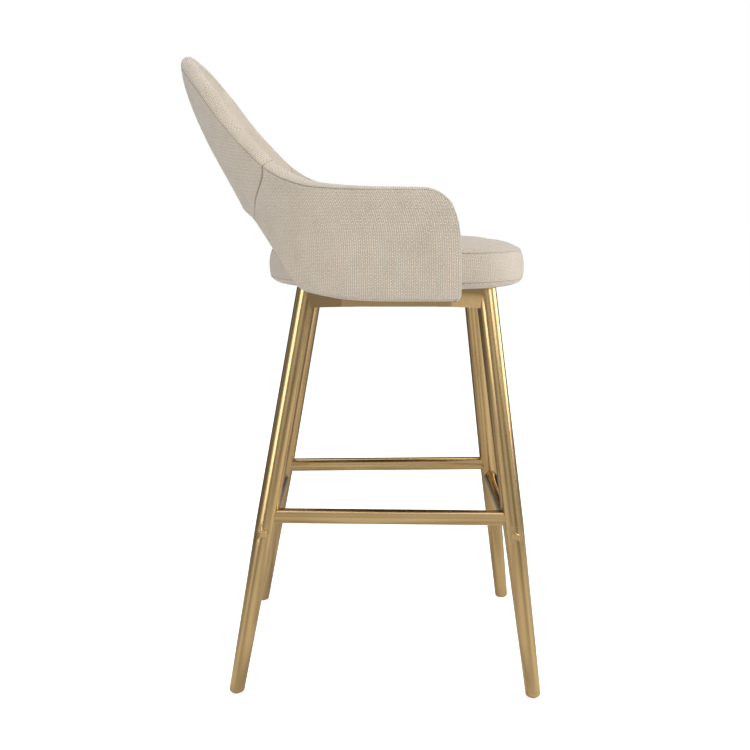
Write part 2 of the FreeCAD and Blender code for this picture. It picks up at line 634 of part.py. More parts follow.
def build_shell():
    gap = math.degrees(SEAM_GAP / SHELL_HALF_WIDTH)
    front = ARM_FRONT_ANGLE

    def line(sign, offset):
        return lambda share: sign * (seam_angle(share) + offset)

    def front_line(sign):
        return lambda share: sign * front

    parts["shell_ply"] = wall_piece(front_line(-1), front_line(1), PLY_START, PLY_INNER, PLY_COLUMNS, close_at_both,
                                    trim=BAND_GAP)
    layers = [("outer", "panel", 0.0, OUTER_PAD),
              ("inner", "panel", SHELL_THICKNESS - INNER_COVER, SHELL_THICKNESS),
              ("", "foam", INNER_FOAM_START, INNER_FOAM_END)]
    for where, kind, shallow, deep in layers:
        back_name = (where + "_back_" + kind).strip("_")
        parts[back_name] = wall_piece(line(-1, -gap), line(1, -gap), shallow, deep, BACK_COLUMNS, even)
        for side_name, side in [("left", 1), ("right", -1)]:
            side_key = where + "_side_" + kind + "_" + side_name if where else "arm_" + kind + "_" + side_name
            parts[side_key] = wall_piece(line(side, gap), front_line(side), shallow, deep, SIDE_COLUMNS,
                                          close_at_end)
    # rounded rim strip: one piece over the back and one along each arm
    band_gap = math.degrees(BAND_GAP / SHELL_HALF_WIDTH)
    back_path = []
    for i in range(BACK_COLUMNS + 1):
        angle = (SEAM_ANGLE_HIGH - band_gap) * (2 * i / BACK_COLUMNS - 1)
        back_path.append((angle, rim_height(angle)))
    parts["rim_band_back"] = edge_band(back_path, crown_of_rim)
    for side_name, side in [("left", 1), ("right", -1)]:
        corner = math.degrees(ARM_LOWER_CORNER / SHELL_HALF_WIDTH)
        path = []
        for i in range(29):
            angle = SEAM_ANGLE_HIGH + band_gap + (front - SEAM_ANGLE_HIGH - band_gap) * close_at_end(i / 28)
            path.append((side * angle, rim_height(angle)))
        top = rim_height(front)
        low = lower_height(front)
        for i in range(1, 7):
            path.append((side * front, top + (low - top) * i / 6))
        for i in range(1, 6):
            angle = front - corner * (1 - close_at_end(1 - i / 5))
            path.append((side * angle, lower_height(angle)))
        ordered = path if side > 0 else path[::-1]
        parts["rim_band_" + side_name] = edge_band(ordered, crown_of_rim)
        low_path = []
        for i in range(29):
            angle = front - corner - gap - (front - corner - 2 * gap) * i / 28
            low_path.append((side * angle, lower_height(angle)))
        ordered = low_path if side > 0 else low_path[::-1]
        parts["lower_band_" + side_name] = edge_band(ordered, lambda angle: LOWER_EDGE_CROWN)


# ---- brackets between the seat board and the shell -------------------------------------
def mirrored_block(side, near, far, low, high):
    """Box between two distances from the middle plane, on one side of the stool."""
    ends = sorted((side * near, side * far))
    return block((ends[0], low[0], low[1]), (ends[1], high[0], high[1]))


def upright_face(place, top):
    """Where the bracket's upright can stand: just inside the ply, at its ends and its height."""
    faces = []
    for y in (place - ARM_BRACKET_WIDTH / 2, place, place + ARM_BRACKET_WIDTH / 2):
        for height in (-ARM_DROP, 0.0, top / 2, top):
            angle = math.degrees(math.atan2(SHELL_HALF_WIDTH - PLY_INNER, y - lean(height)))
            faces.append((shell_point(angle, height) - shell_normal(angle, height) * PLY_INNER).x)
    return min(faces) - LAYER_GAP


def build_arm_brackets():
    screws = []
    bolts = []
    high = UNDERSIDE - DUST_COVER_THICKNESS - SOFT_GAP
    low = high - ARM_BRACKET_PLATE
    top = UNDERSIDE + ARM_BRACKET_RISE
    head_radius = ARM_BOLT_RADIUS * 2
    for side_name, side in [("left", 1), ("right", -1)]:
        foam = "arm_foam_" + side_name
        for place_name, place in zip(["front", "rear"], ARM_BRACKET_PLACES):
            rear = place - ARM_BRACKET_WIDTH / 2
            front = place + ARM_BRACKET_WIDTH / 2
            upright = upright_face(place, ARM_BRACKET_RISE)
            inner_x = upright - ARM_BRACKET_PLATE
            flat = mirrored_block(side, ARM_BRACKET_INNER, upright, (rear, low), (front, high))
            wall = mirrored_block(side, inner_x, upright, (rear, low), (front, top))
            bracket = flat.fuse(wall).removeSplitter()
            # room for the bracket in the foam and in the cover that it passes through
            slit = mirrored_block(side, ARM_BRACKET_INNER, upright, (rear - SOFT_GAP, low - SOFT_GAP),
                                  (front + SOFT_GAP, high + SOFT_GAP))
            pocket = mirrored_block(side, inner_x - SOFT_GAP, upright + POCKET_DEPTH,
                                    (rear - SOFT_GAP, low - 20), (front + SOFT_GAP, top + SOFT_GAP))
            parts["inner_side_panel_" + side_name] = parts["inner_side_panel_" + side_name].cut(slit)
            parts[foam] = parts[foam].cut(slit).cut(pocket)
            for offset in (-ARM_BOLT_SPACING / 2, ARM_BOLT_SPACING / 2):
                spot = V(side * (ARM_BRACKET_INNER + ARM_SCREW_SETBACK), place + offset, low)
                tip = V(spot.x, spot.y, BOARD_LOW + BOARD_THICKNESS - SCREW_TIP_COVER)
                bracket = bracket.cut(cylinder(ARM_BOLT_RADIUS + HOLE_GAP, spot, V(spot.x, spot.y, high)))
                head = cylinder(head_radius, spot - V(0, 0, SCREW_HEAD_HEIGHT), spot)
                screws.append(head.fuse(cylinder(ARM_BOLT_RADIUS, spot, tip)).removeSplitter())
                pilot = cylinder(ARM_BOLT_RADIUS, spot, tip)
                for node in ("seat_board", "dust_cover", "seat_under_panel"):
                    parts[node] = parts[node].cut(pilot)
            for level in ARM_BOLT_LEVELS:
                z = UNDERSIDE + level
                start = V(side * inner_x, place, z)
                face = V(side * upright, place, z)
                end = V(side * (upright + PLY_THICKNESS - BOLT_TIP_COVER), place, z)
                inward = V(-side, 0, 0)
                bracket = bracket.cut(cylinder(ARM_BOLT_RADIUS + HOLE_GAP, start, face))
                head = cylinder(head_radius, start + inward * SCREW_HEAD_HEIGHT, start)
                bolts.append(head.fuse(cylinder(ARM_BOLT_RADIUS, start, end)).removeSplitter())
                parts["shell_ply"] = parts["shell_ply"].cut(cylinder(ARM_BOLT_RADIUS, start, end))
                recess_end = start + inward * (SCREW_HEAD_HEIGHT + SOFT_GAP)
                recess = cylinder(head_radius + SOFT_GAP, recess_end, start)
                parts[foam] = parts[foam].cut(recess)
            parts["arm_bracket_" + place_name + "_" + side_name] = bracket
    parts["arm_bracket_screws"] = screws
    parts["arm_bracket_bolts"] = bolts


def largest_box(shapes):
    box = FreeCAD.BoundBox()
    for shape in shapes:
        box.add(shape.optimalBoundingBox(False, False))
    return box


def main():
    build_seat()
    outers = build_legs()
    build_footrails(outers)
    build_seat_frame(outers)
    build_shell()
    build_arm_brackets()
    shapes = {}
    for name, shape in parts.items():
        solids = []
        for piece in (shape if isinstance(shape, list) else [shape]):
            solids.extend(piece.Solids)
        shapes[name] = solids[0] if len(solids) == 1 else Part.makeCompound(solids)
    box = largest_box(shapes.values())
    shift = V(0, -(box.YMin + box.YMax) / 2, 0)
    os.makedirs("parts", exist_ok=True)
    for name, shape in sorted(shapes.items()):
        moved = shape.copy()
        moved.translate(shift)
        moved.exportStep("parts/" + name + ".step")
    print("nodes", len(shapes), "shift along Y", round(shift.y, 2))
    print("size", round(box.XLength, 1), round(box.YLength, 1), round(box.ZLength, 1))


main()
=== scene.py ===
# %% [markdown]
# # An upholstered bar stool
# The stool is a sewn, padded shell round a boxed cushion, on a frame of tapered brass tube. The frame,
# its rails and its screws are already exact solids, so this lesson keeps them and gives them a finish.
# The sewn covers are plain solids there. Here each one is made again as cloth: with rolled edges where
# it meets its neighbour, a little slackness, and a weave that runs along the panel.
import json
import math

import bmesh
import bpy
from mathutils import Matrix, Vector, noise


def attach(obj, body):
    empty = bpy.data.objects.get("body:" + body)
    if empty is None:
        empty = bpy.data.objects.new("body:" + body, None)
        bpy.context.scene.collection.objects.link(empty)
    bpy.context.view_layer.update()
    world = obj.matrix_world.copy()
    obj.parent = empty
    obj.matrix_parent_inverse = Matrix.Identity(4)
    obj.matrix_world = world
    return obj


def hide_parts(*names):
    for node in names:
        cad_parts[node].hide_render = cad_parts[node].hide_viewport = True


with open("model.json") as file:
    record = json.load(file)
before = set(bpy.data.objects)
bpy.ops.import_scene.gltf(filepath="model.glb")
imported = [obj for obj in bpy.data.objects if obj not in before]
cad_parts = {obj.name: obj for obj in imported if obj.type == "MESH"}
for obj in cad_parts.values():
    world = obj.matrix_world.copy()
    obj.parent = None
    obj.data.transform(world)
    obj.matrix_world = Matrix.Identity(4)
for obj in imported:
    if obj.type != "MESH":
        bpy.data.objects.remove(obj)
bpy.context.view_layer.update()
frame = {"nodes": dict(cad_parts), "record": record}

# %% [markdown]
# ## The sizes that shape the covers
# A cover fits what is under it, so its sizes are the frame's own, here in metres. The cushion's sizes
# come first, then the shell's. The middle of the seat isn't the origin, because the back leans out behind,
# so every place along Y starts from the seat's middle. Angles are in degrees round the seat from the middle
# of the back, and the plan's powers say how square an outline is: 2 is an ellipse, and more is boxier.

# %% Sizes of the cushion and the shell
MM = 0.001
SEAT_MIDDLE_Y = -64.0 * MM
UNDERSIDE = 679 * MM
CUSHION_HALF_WIDTH = 236 * MM
CUSHION_HALF_DEPTH = 225 * MM
CUSHION_THICKNESS = 76 * MM
CUSHION_REAR_POWER = 2.1
CUSHION_FRONT_POWER = 2.8
LOWER_SEAM_RISE = 11 * MM
UPPER_SEAM_RISE = 58 * MM
WIDEST_RISE = 33 * MM

SHELL_HALF_WIDTH = 266 * MM
SHELL_DEPTH = 255 * MM
SHELL_THICKNESS = 28 * MM
SHELL_REAR_POWER = 2.2
SHELL_FRONT_POWER = 2.8
OUTER_COVER = 4.4 * MM
INNER_PAD_START = 16 * MM
ARM_HEIGHT = 158.5 * MM
BACK_HEIGHT = 367 * MM
ARM_DROP = 12 * MM
ARCH_HEIGHT = 136 * MM
ARM_FRONT = 110.5
ARM_CORNER = 30 * MM
ARM_LOWER_CORNER = 6 * MM
CORNER_REACH = 0.97
RIM_CROWN_BACK = 16 * MM
RIM_CROWN_ARM = 4.5 * MM
CROWN_FADE = 3
LOWER_EDGE_CROWN = 4 * MM
SIDE_SEAM_LOW = 28
SIDE_SEAM_HIGH = 51.4
SIDE_SEAM_BOW = 9.6
LEAN_START = 116                # mm above the underside, where the back begins to lean
LEAN_SOFTNESS = 18              # mm, over which it eases into the lean
LEAN_SLOPE = 0.601
LEAN_STRAIGHTENS = 2.363e-6
RIM_SHAPE = [(0, 1.0), (12, 0.985), (20.2, 0.938), (27, 0.862), (34, 0.735), (41, 0.508),
             (46, 0.345), (52, 0.160), (58, 0.074), (67, 0.020), (81, 0.003), (96, 0.0)]
ARCH_SHAPE = [(0, 1.0), (14, 0.985), (25, 0.93), (33.5, 0.755), (43.2, 0.485), (50.3, 0.228),
              (53.5, 0.133), (56.5, 0.088), (61, 0.062), (73.7, 0.012), (90.6, 0.0), (100, 0.0)]
print("cushion", 2 * CUSHION_HALF_WIDTH, "m wide; shell", 2 * SHELL_HALF_WIDTH, "m wide")

# %% [markdown]
# ## The shell as a surface
# The shell wraps round the seat, so a place on it is an angle round the seat, measured from the middle of
# the back, and a height above the cushion's underside. One function turns the pair into a point, and
# a second gives the direction straight out of the face. Every panel, strip and seam of the shell can then be
# drawn as if it lay flat.

# %% Curves that the shell follows
def smooth_table(table, angle):
    """Smooth reading of a table of (angle, value), the same to the left and the right."""
    angle = abs(angle)
    if angle >= table[-1][0]:
        return table[-1][1]
    slopes = [0.0] * len(table)
    for i in range(1, len(table) - 1):
        before = (table[i][1] - table[i - 1][1]) / (table[i][0] - table[i - 1][0])
        after = (table[i + 1][1] - table[i][1]) / (table[i + 1][0] - table[i][0])
        if before * after > 0:
            slopes[i] = 2 * before * after / (before + after)
    i = next(k for k in range(len(table) - 1) if angle <= table[k + 1][0])
    (x0, y0), (x1, y1) = table[i], table[i + 1]
    span = x1 - x0
    s = (angle - x0) / span
    rise = (y1 - y0) * s * s * (3 - 2 * s)
    return y0 + rise + span * s * (1 - s) * (slopes[i] * (1 - s) - slopes[i + 1] * s)


def plan_radius(angle, half_width, depth, rear_power, front_power):
    """How far a rounded plan outline lies from the seat's middle, by angle from the back."""
    sine = abs(math.sin(math.radians(angle)))
    cosine = math.cos(math.radians(angle))
    power = rear_power if cosine >= 0 else front_power
    return ((sine / half_width) ** power + (abs(cosine) / depth) ** power) ** (-1 / power)


def lean(height):
    """How far the back has leaned to the rear, in metres, at a height above the underside."""
    past = LEAN_SOFTNESS * math.log1p(math.exp((height / MM - LEAN_START) / LEAN_SOFTNESS))
    return (LEAN_SLOPE * past - LEAN_STRAIGHTENS * past ** 3) * MM


print("the back leans", round(lean(BACK_HEIGHT), 3), "m at its top")

# %% Points and directions on the shell
def shell_radius(angle):
    return plan_radius(angle, SHELL_HALF_WIDTH, SHELL_DEPTH, SHELL_REAR_POWER, SHELL_FRONT_POWER)


def shell_point(angle, height):
    radius = shell_radius(angle)
    turn = math.radians(angle)
    return Vector((radius * math.sin(turn), radius * math.cos(turn) + lean(height) + SEAT_MIDDLE_Y,
                   UNDERSIDE + height))


SMALL_STEP = 0.05               # degrees or mm, between two points that give a direction


def shell_normal(angle, height):
    along = shell_point(angle + SMALL_STEP, height) - shell_point(angle - SMALL_STEP, height)
    up = shell_point(angle, height + SMALL_STEP * MM) - shell_point(angle, height - SMALL_STEP * MM)
    return up.cross(along).normalized()


ARM_ARC = math.radians(1) * shell_radius(ARM_FRONT)     # metres of arm for one degree at its front


def corner_drop(angle, radius):
    """Rounding of the arm's front corners, zero away from the arm's front."""
    past = (abs(angle) - ARM_FRONT) * ARM_ARC + radius * CORNER_REACH
    along = min(max(past, 0), radius * CORNER_REACH)
    return radius - math.sqrt(radius * radius - along * along)


def rim_height(angle):
    rise = (BACK_HEIGHT - ARM_HEIGHT) * smooth_table(RIM_SHAPE, angle)
    return ARM_HEIGHT + rise - corner_drop(angle, ARM_CORNER)


def lower_height(angle):
    arch = ARCH_HEIGHT * smooth_table(ARCH_SHAPE, angle)
    return arch - ARM_DROP + corner_drop(angle, ARM_LOWER_CORNER)


def side_seam(share):
    """Angle of the seam between the back and a side, by share of the way up it."""
    turn = SIDE_SEAM_HIGH - SIDE_SEAM_LOW + SIDE_SEAM_BOW
    return SIDE_SEAM_LOW + turn * share - SIDE_SEAM_BOW * share ** 2


print("top of the back at", tuple(round(c, 3) for c in shell_point(0, rim_height(0))))

# %% [markdown]
# ## A finish that several materials share: woven cloth
# The cloth is a plain weave of two yarns: thick warp yarns that stand side by side and finer weft yarns that
# cross them, over one and under the next. A node group works that out from a flat map of the cloth, in
# metres: which yarn is on top, how high it is, and how deep the hole at each crossing is. The group puts out
# only values, and the material makes the colour and the bump from them. The gaps between the yarns are real,
# and the dark in the holes and in the lines between yarns is painted shade.

# %% Node helpers
def socket(group, name, kind, default=None, output=False):
    made = group.interface.new_socket(name, in_out="OUTPUT" if output else "INPUT",
                                      socket_type="NodeSocket" + kind)
    if default is not None:
        made.default_value = default


def math_node(nodes, links, operation, first, second=None, third=None):
    node = nodes.new("ShaderNodeMath")
    node.operation = operation
    for place, value in enumerate((first, second, third)):
        if value is None:
            continue
        if isinstance(value, (int, float)):
            node.inputs[place].default_value = value
        else:
            links.new(value, node.inputs[place])
    return node.outputs[0]


def calculator(nodes, links):
    """A shorter math_node for one node tree."""
    def calc(operation, first, second=None, third=None):
        return math_node(nodes, links, operation, first, second, third)
    return calc


def new_group(name):
    group = bpy.data.node_groups.new(name, "ShaderNodeTree")
    start = group.nodes.new("NodeGroupInput")
    end = group.nodes.new("NodeGroupOutput")
    return group, start, end


print("node helpers ready")

# %% The weave group
WARP_PITCH = 3.4 * MM
WEFT_PITCH = 2.2 * MM
YARN_WANDER = 2.2 * MM          # how far a yarn strays from its straight line
WANDER_SCALE = 90
YARN_SHARPNESS = 3.5            # how narrow the line between two yarns is; its dark is painted shade
HOLE_SHARPNESS = 1.4
WARP_LINE = (0.25, 0.42)        # depth of the line between warps: more by the first where the weft is on top
WEFT_LINE = (0.45, 0.35)        # depth of the line between wefts: more by the first where the warp is on top
YARN_ARCH = 0.25                # how much lower a yarn is where it dips under the next


def build_weave():
    group, start, end = new_group("plain_weave")
    socket(group, "Cloth", "Vector")
    socket(group, "Warp Pitch", "Float", WARP_PITCH)
    socket(group, "Weft Pitch", "Float", WEFT_PITCH)
    socket(group, "Height", "Float", output=True)
    socket(group, "Hole", "Float", output=True)
    socket(group, "Weft On Top", "Float", output=True)
    socket(group, "Yarn Shade", "Float", output=True)
    nodes, links = group.nodes, group.links
    calc = calculator(nodes, links)
    wander = nodes.new("ShaderNodeTexNoise")
    wander.inputs["Scale"].default_value = WANDER_SCALE
    wander.inputs["Detail"].default_value = 3
    links.new(start.outputs["Cloth"], wander.inputs["Vector"])
    split = nodes.new("ShaderNodeSeparateXYZ")
    links.new(start.outputs["Cloth"], split.inputs[0])
    drift = calc("MULTIPLY", calc("SUBTRACT", wander.outputs["Fac"], 0.5), YARN_WANDER)
    across = calc("DIVIDE", calc("ADD", split.outputs["X"], drift), start.outputs["Warp Pitch"])
    upward = calc("DIVIDE", calc("ADD", split.outputs["Y"], drift), start.outputs["Weft Pitch"])
    column, row = calc("FLOOR", across), calc("FLOOR", upward)
    x = calc("ABSOLUTE", calc("SUBTRACT", calc("FRACT", across), 0.5))
    y = calc("ABSOLUTE", calc("SUBTRACT", calc("FRACT", upward), 0.5))
    weft_top = calc("FLOORED_MODULO", calc("ADD", column, row), 2.0)
    warp_top = calc("SUBTRACT", 1.0, weft_top)

    def gap(side, sharpness):
        """One between two yarns, falling to nothing at the middle of a yarn."""
        return calc("POWER", calc("MULTIPLY", side, 2.0), sharpness)

    hole = calc("MULTIPLY", gap(x, HOLE_SHARPNESS), gap(y, HOLE_SHARPNESS))
    for side, crossing, line in ((x, weft_top, WARP_LINE), (y, warp_top, WEFT_LINE)):
        depth = calc("MULTIPLY_ADD", crossing, *line)
        hole = calc("MAXIMUM", hole, calc("MULTIPLY", gap(side, YARN_SHARPNESS), depth))
    # along itself, a yarn is highest at the middle of a crossing
    arch = calc("ADD", calc("MULTIPLY", gap(y, 2.0), warp_top), calc("MULTIPLY", gap(x, 2.0), weft_top))
    height = calc("SUBTRACT", calc("SUBTRACT", 1.0, hole), calc("MULTIPLY", arch, YARN_ARCH))
    cell = nodes.new("ShaderNodeCombineXYZ")
    links.new(column, cell.inputs[0])
    links.new(row, cell.inputs[1])
    shade = nodes.new("ShaderNodeTexWhiteNoise")
    links.new(cell.outputs[0], shade.inputs["Vector"])
    for name, value in (("Height", height), ("Hole", hole), ("Weft On Top", weft_top),
                        ("Yarn Shade", shade.outputs["Value"])):
        links.new(value, end.inputs[name])
    return group


weave = build_weave()
print(weave.name, "has", len(weave.nodes), "nodes")

# %% [markdown]
# ## A second shared finish: mottling
# Dyed yarn, plating and plywood are never one flat colour. This small group mixes a wide noise and a fine
# one into a single value near a half, which each material turns into its own slight change of shade or gloss.

# %% The mottling group
WIDE_SHARE = 0.6                # of the value that comes from the wide noise; the fine one gives the rest


def build_mottling():
    group, start, end = new_group("mottling")
    socket(group, "Place", "Vector")
    socket(group, "Wide Scale", "Float", 6.0)
    socket(group, "Fine Scale", "Float", 120.0)
    socket(group, "Value", "Float", output=True)
    nodes, links = group.nodes, group.links
    calc = calculator(nodes, links)
    clouds = []
    for name, detail in (("Wide Scale", 3), ("Fine Scale", 4)):
        cloud = nodes.new("ShaderNodeTexNoise")
        cloud.inputs["Detail"].default_value = detail
        links.new(start.outputs["Place"], cloud.inputs["Vector"])
        links.new(start.outputs[name], cloud.inputs["Scale"])
        clouds.append(cloud.outputs["Fac"])
    fine = calc("MULTIPLY", clouds[1], 1 - WIDE_SHARE)
    links.new(calc("MULTIPLY_ADD", clouds[0], WIDE_SHARE, fine), end.inputs["Value"])
    return group


mottling = build_mottling()
print(mottling.name, "has", len(mottling.nodes), "nodes")

# %% [markdown]
# ## The materials
# Each material is one shader with its constants on the shader itself. What changes over the surface comes
# through the groups: colour, roughness and the height of a bump. The cloth also takes painted shade in the
# creases of its seams, from a value that each piece carries.

# %% Material helpers
def new_material(name):
    material = bpy.data.materials.new(name)
    material.use_nodes = True
    nodes, links = material.node_tree.nodes, material.node_tree.links
    nodes.clear()
    shader = nodes.new("ShaderNodeBsdfPrincipled")
    output = nodes.new("ShaderNodeOutputMaterial")
    links.new(shader.outputs[0], output.inputs[0])
    return material, nodes, links, shader


def group_node(nodes, group):
    node = nodes.new("ShaderNodeGroup")
    node.node_tree = group
    return node


def colour_steps(nodes, links, value, stops):
    """A colour ramp over (place, colour) stops."""
    ramp = nodes.new("ShaderNodeValToRGB")
    elements = ramp.color_ramp.elements
    while len(elements) < len(stops):
        elements.new(0.5)
    for element, (place, colour) in zip(elements, stops):
        element.position = place
        element.color = (*colour, 1)
    links.new(value, ramp.inputs[0])
    return ramp.outputs[0]


def mix_colour(nodes, links, share, first, second, mode="MIX"):
    node = nodes.new("ShaderNodeMix")
    node.data_type = "RGBA"
    node.blend_type = mode
    for place, value in ((0, share), (6, first), (7, second)):
        if isinstance(value, float):
            node.inputs[place].default_value = value
        elif isinstance(value, tuple):
            node.inputs[place].default_value = (*value, 1)
        else:
            links.new(value, node.inputs[place])
    return node.outputs[2]


def mottled(nodes, links, wide, fine):
    """The mottling's value, laid over the piece in its own place."""
    place = nodes.new("ShaderNodeTexCoord")
    cloud = group_node(nodes, mottling)
    links.new(place.outputs["Object"], cloud.inputs["Place"])
    cloud.inputs["Wide Scale"].default_value = wide
    cloud.inputs["Fine Scale"].default_value = fine
    return cloud.outputs["Value"]


def bump(nodes, links, height, distance):
    node = nodes.new("ShaderNodeBump")
    node.inputs["Distance"].default_value = distance
    node.inputs["Strength"].default_value = 1.0
    links.new(height, node.inputs["Height"])
    return node.outputs[0]


print("material helpers ready")

# %% The oatmeal cloth
WARP_COLOUR = (0.770, 0.680, 0.555)
WEFT_COLOUR = (0.680, 0.595, 0.478)
# painted shade: the near-black that the holes and the lines between yarns are darkened towards
HOLE_SHADE_COLOUR = (0.070, 0.048, 0.026)
CREASE_SHADE_STRENGTH = 0.30               # painted shade: how much darker the cloth is painted in a seam's crease
YARN_VARIETY = 0.38             # how much the shade changes from one crossing to the next
BLOTCH_SHADE = (0.55, 0.55)     # shade by mottling: slope and start
HOLE_SHADE_VARIETY = 1.15             # how much the holes' painted shade changes from one crossing to the next
BLOTCH_HOLE_SHADE = (0.5, -0.08)     # painted shade in the holes by mottling: slope and start
YARN_RELIEF = 0.45 * MM


def oatmeal_cloth():
    material, nodes, links, shader = new_material("oatmeal_cloth")
    calc = calculator(nodes, links)
    cloth = nodes.new("ShaderNodeUVMap")
    cloth.uv_map = "cloth"
    woven = group_node(nodes, weave)
    links.new(cloth.outputs[0], woven.inputs["Cloth"])
    blotch = mottled(nodes, links, wide=22, fine=300)
    yarns = mix_colour(nodes, links, woven.outputs["Weft On Top"], WARP_COLOUR, WEFT_COLOUR)
    shade = calc("MULTIPLY_ADD", woven.outputs["Yarn Shade"], YARN_VARIETY,
                 calc("MULTIPLY_ADD", blotch, *BLOTCH_SHADE))
    # painted shade in the creases of the seams, from the seam value that each piece carries
    painted_seam_shade = nodes.new("ShaderNodeAttribute")
    painted_seam_shade.attribute_name = "seam"
    shade = calc("MULTIPLY", shade, calc("MULTIPLY_ADD", painted_seam_shade.outputs["Fac"], -CREASE_SHADE_STRENGTH, 1.0))
    tone = nodes.new("ShaderNodeCombineColor")
    for channel in range(3):
        links.new(shade, tone.inputs[channel])
    yarns = mix_colour(nodes, links, 1.0, yarns, tone.outputs[0], "MULTIPLY")
    # painted shade in the holes and between the yarns, deeper at some crossings than at others
    patchy_hole_shade = calc("MULTIPLY_ADD", woven.outputs["Yarn Shade"], HOLE_SHADE_VARIETY,
                  calc("MULTIPLY_ADD", blotch, *BLOTCH_HOLE_SHADE))
    depth = calc("MINIMUM", calc("MULTIPLY", woven.outputs["Hole"], patchy_hole_shade), 1.0)
    links.new(mix_colour(nodes, links, depth, yarns, HOLE_SHADE_COLOUR), shader.inputs["Base Color"])
    links.new(bump(nodes, links, woven.outputs["Height"], YARN_RELIEF), shader.inputs["Normal"])
    shader.inputs["Roughness"].default_value = 0.92
    shader.inputs["Specular IOR Level"].default_value = 0.2
    shader.inputs["Sheen Weight"].default_value = 0.5
    shader.inputs["Sheen Roughness"].default_value = 0.5
    shader.inputs["Sheen Tint"].default_value = (1.0, 0.98, 0.98, 1)
    return material


cloth_material = oatmeal_cloth()
print(cloth_material.name)

# %% The brass plate and the plain inner materials
def mottled_material(name, dark, light, roughness, metallic, wide, fine, relief):
    """A mottled material between two colours. Its roughness is a start and a slope."""
    material, nodes, links, shader = new_material(name)
    grain = mottled(nodes, links, wide, fine)
    links.new(colour_steps(nodes, links, grain, [(0.3, dark), (0.7, light)]), shader.inputs["Base Color"])
    start, slope = roughness
    links.new(math_node(nodes, links, "MULTIPLY_ADD", grain, slope, start), shader.inputs["Roughness"])
    links.new(bump(nodes, links, grain, relief), shader.inputs["Normal"])
    shader.inputs["Metallic"].default_value = metallic
    return material


# slot: name, dark and light colour, roughness, metallic, wide and fine scale, relief
PLAIN_FINISHES = {
    "satin_brass": ("satin_brass_plate", (0.545, 0.375, 0.172), (0.610, 0.430, 0.210),
                    (0.17, 0.10), 1.0, 14, 900, 0.02 * MM),
    "plain_steel": ("zinc_plate", (0.45, 0.46, 0.48), (0.60, 0.61, 0.62),
                    (0.28, 0.15), 1.0, 20, 600, 0.03 * MM),
    "black_plastic": ("black_moulding", (0.018, 0.018, 0.018), (0.03, 0.03, 0.03),
                      (0.42, 0.15), 0.0, 30, 1500, 0.05 * MM),
    "plywood": ("birch_plywood", (0.50, 0.33, 0.17), (0.66, 0.48, 0.28),
                (0.55, 0.15), 0.0, 12, 260, 0.08 * MM),
    "foam": ("cream_foam", (0.72, 0.64, 0.42), (0.82, 0.75, 0.54),
             (0.85, 0.15), 0.0, 40, 1800, 0.3 * MM),
    "black_cloth": ("black_dust_cloth", (0.012, 0.012, 0.012), (0.03, 0.03, 0.03),
                    (0.85, 0.15), 0.0, 60, 2200, 0.15 * MM),
}
finishes = {slot: mottled_material(*look) for slot, look in PLAIN_FINISHES.items()}
finishes["oatmeal_fabric"] = cloth_material
print("materials for", ", ".join(finishes))

# %% Finishing the frame
node_slots = {row["node"]: row["material_slot"] for row in frame["record"]["subparts"]}
for node, piece in frame["nodes"].items():
    finish = finishes[node_slots[node]]
    if piece.material_slots:
        for place in piece.material_slots:
            place.material = finish
    else:
        piece.data.materials.append(finish)
print("finished", len(frame["nodes"]), "frame pieces in", len(finishes), "materials")

# %% [markdown]
# ## How a sewn panel is made
# Two panels of a sewn cover are stitched face to face and turned, so each edge rolls down into the seam.
# A grid gives that: its lines are crowded near each edge and evenly spaced between, and every point within
# the roll's radius of an edge sinks along a quarter circle. A flat map in metres goes with the grid, for the
# weave. Solidify then gives the cloth its thickness and Subdivision rounds it.

# %% Spacing, rolls and slackness
ROLL = 1.2 * MM
CLOTH = 1.4 * MM


CROWD = [0.0, 0.12, 0.4, 0.8, 1.3, 3.5]     # lines near an edge, in radii of the roll


def stations(length, step):
    """Shares from 0 to 1 along a length: crowded near both ends, even between."""
    crowd = [share * ROLL for share in CROWD]
    middle = max(2, round((length - 2 * crowd[-1]) / step))
    inner = [crowd[-1] + (length - 2 * crowd[-1]) * i / middle for i in range(1, middle)]
    return [s / length for s in crowd + inner + [length - c for c in reversed(crowd)]]


def roll_depth(distance):
    """How deep the face has rolled at a distance from a sewn edge."""
    past = max(ROLL - distance, 0)
    return ROLL - math.sqrt(max(ROLL * ROLL - past * past, 0))


def share_between(value, start, stop):
    """How far a value has come from start to stop, held between 0 and 1."""
    return min(max((value - start) / (stop - start), 0), 1)


def ramp(value, start, stop):
    """Smooth step from 0 at start to 1 at stop."""
    share = share_between(value, start, stop)
    return share * share * (3 - 2 * share)


HEM_REACH = 9 * MM
HEM_DEPTH = 3.5 * MM
HEM_TURN = math.radians(15)
HEM_UNDER_BACK = 0.3            # of its depth on the arm
HEM_GROWS = (48, 75)            # angles between which it gets its full depth
HEM_RUNS_OUT = (ARM_FRONT - 7, ARM_FRONT - 1)


def hem_size(angle):
    """The hem is soft along the arm, slight under the back, and runs out at the arm's front."""
    depth = HEM_DEPTH * (HEM_UNDER_BACK + (1 - HEM_UNDER_BACK) * ramp(abs(angle), *HEM_GROWS))
    return depth * (1 - ramp(abs(angle), *HEM_RUNS_OUT))


def hem_depth(angle, distance):
    """How far the face has curved in at a distance above the shell's soft lower edge."""
    share = max(1 - distance / HEM_REACH, 0)
    return hem_size(angle) * share * share


SHADE_REACH = 1.5 * MM
SHADE_FADE = 0.9 * MM


def crease_shade_at(distance):
    """Strength of the painted shade in a seam's crease: one there, falling to nothing where the cloth lies
    flat again.
    """
    return min(max((SHADE_REACH - distance) / SHADE_FADE, 0.0), 1.0)


print("rolled edges of", ROLL, "m in cloth", CLOTH, "m thick")

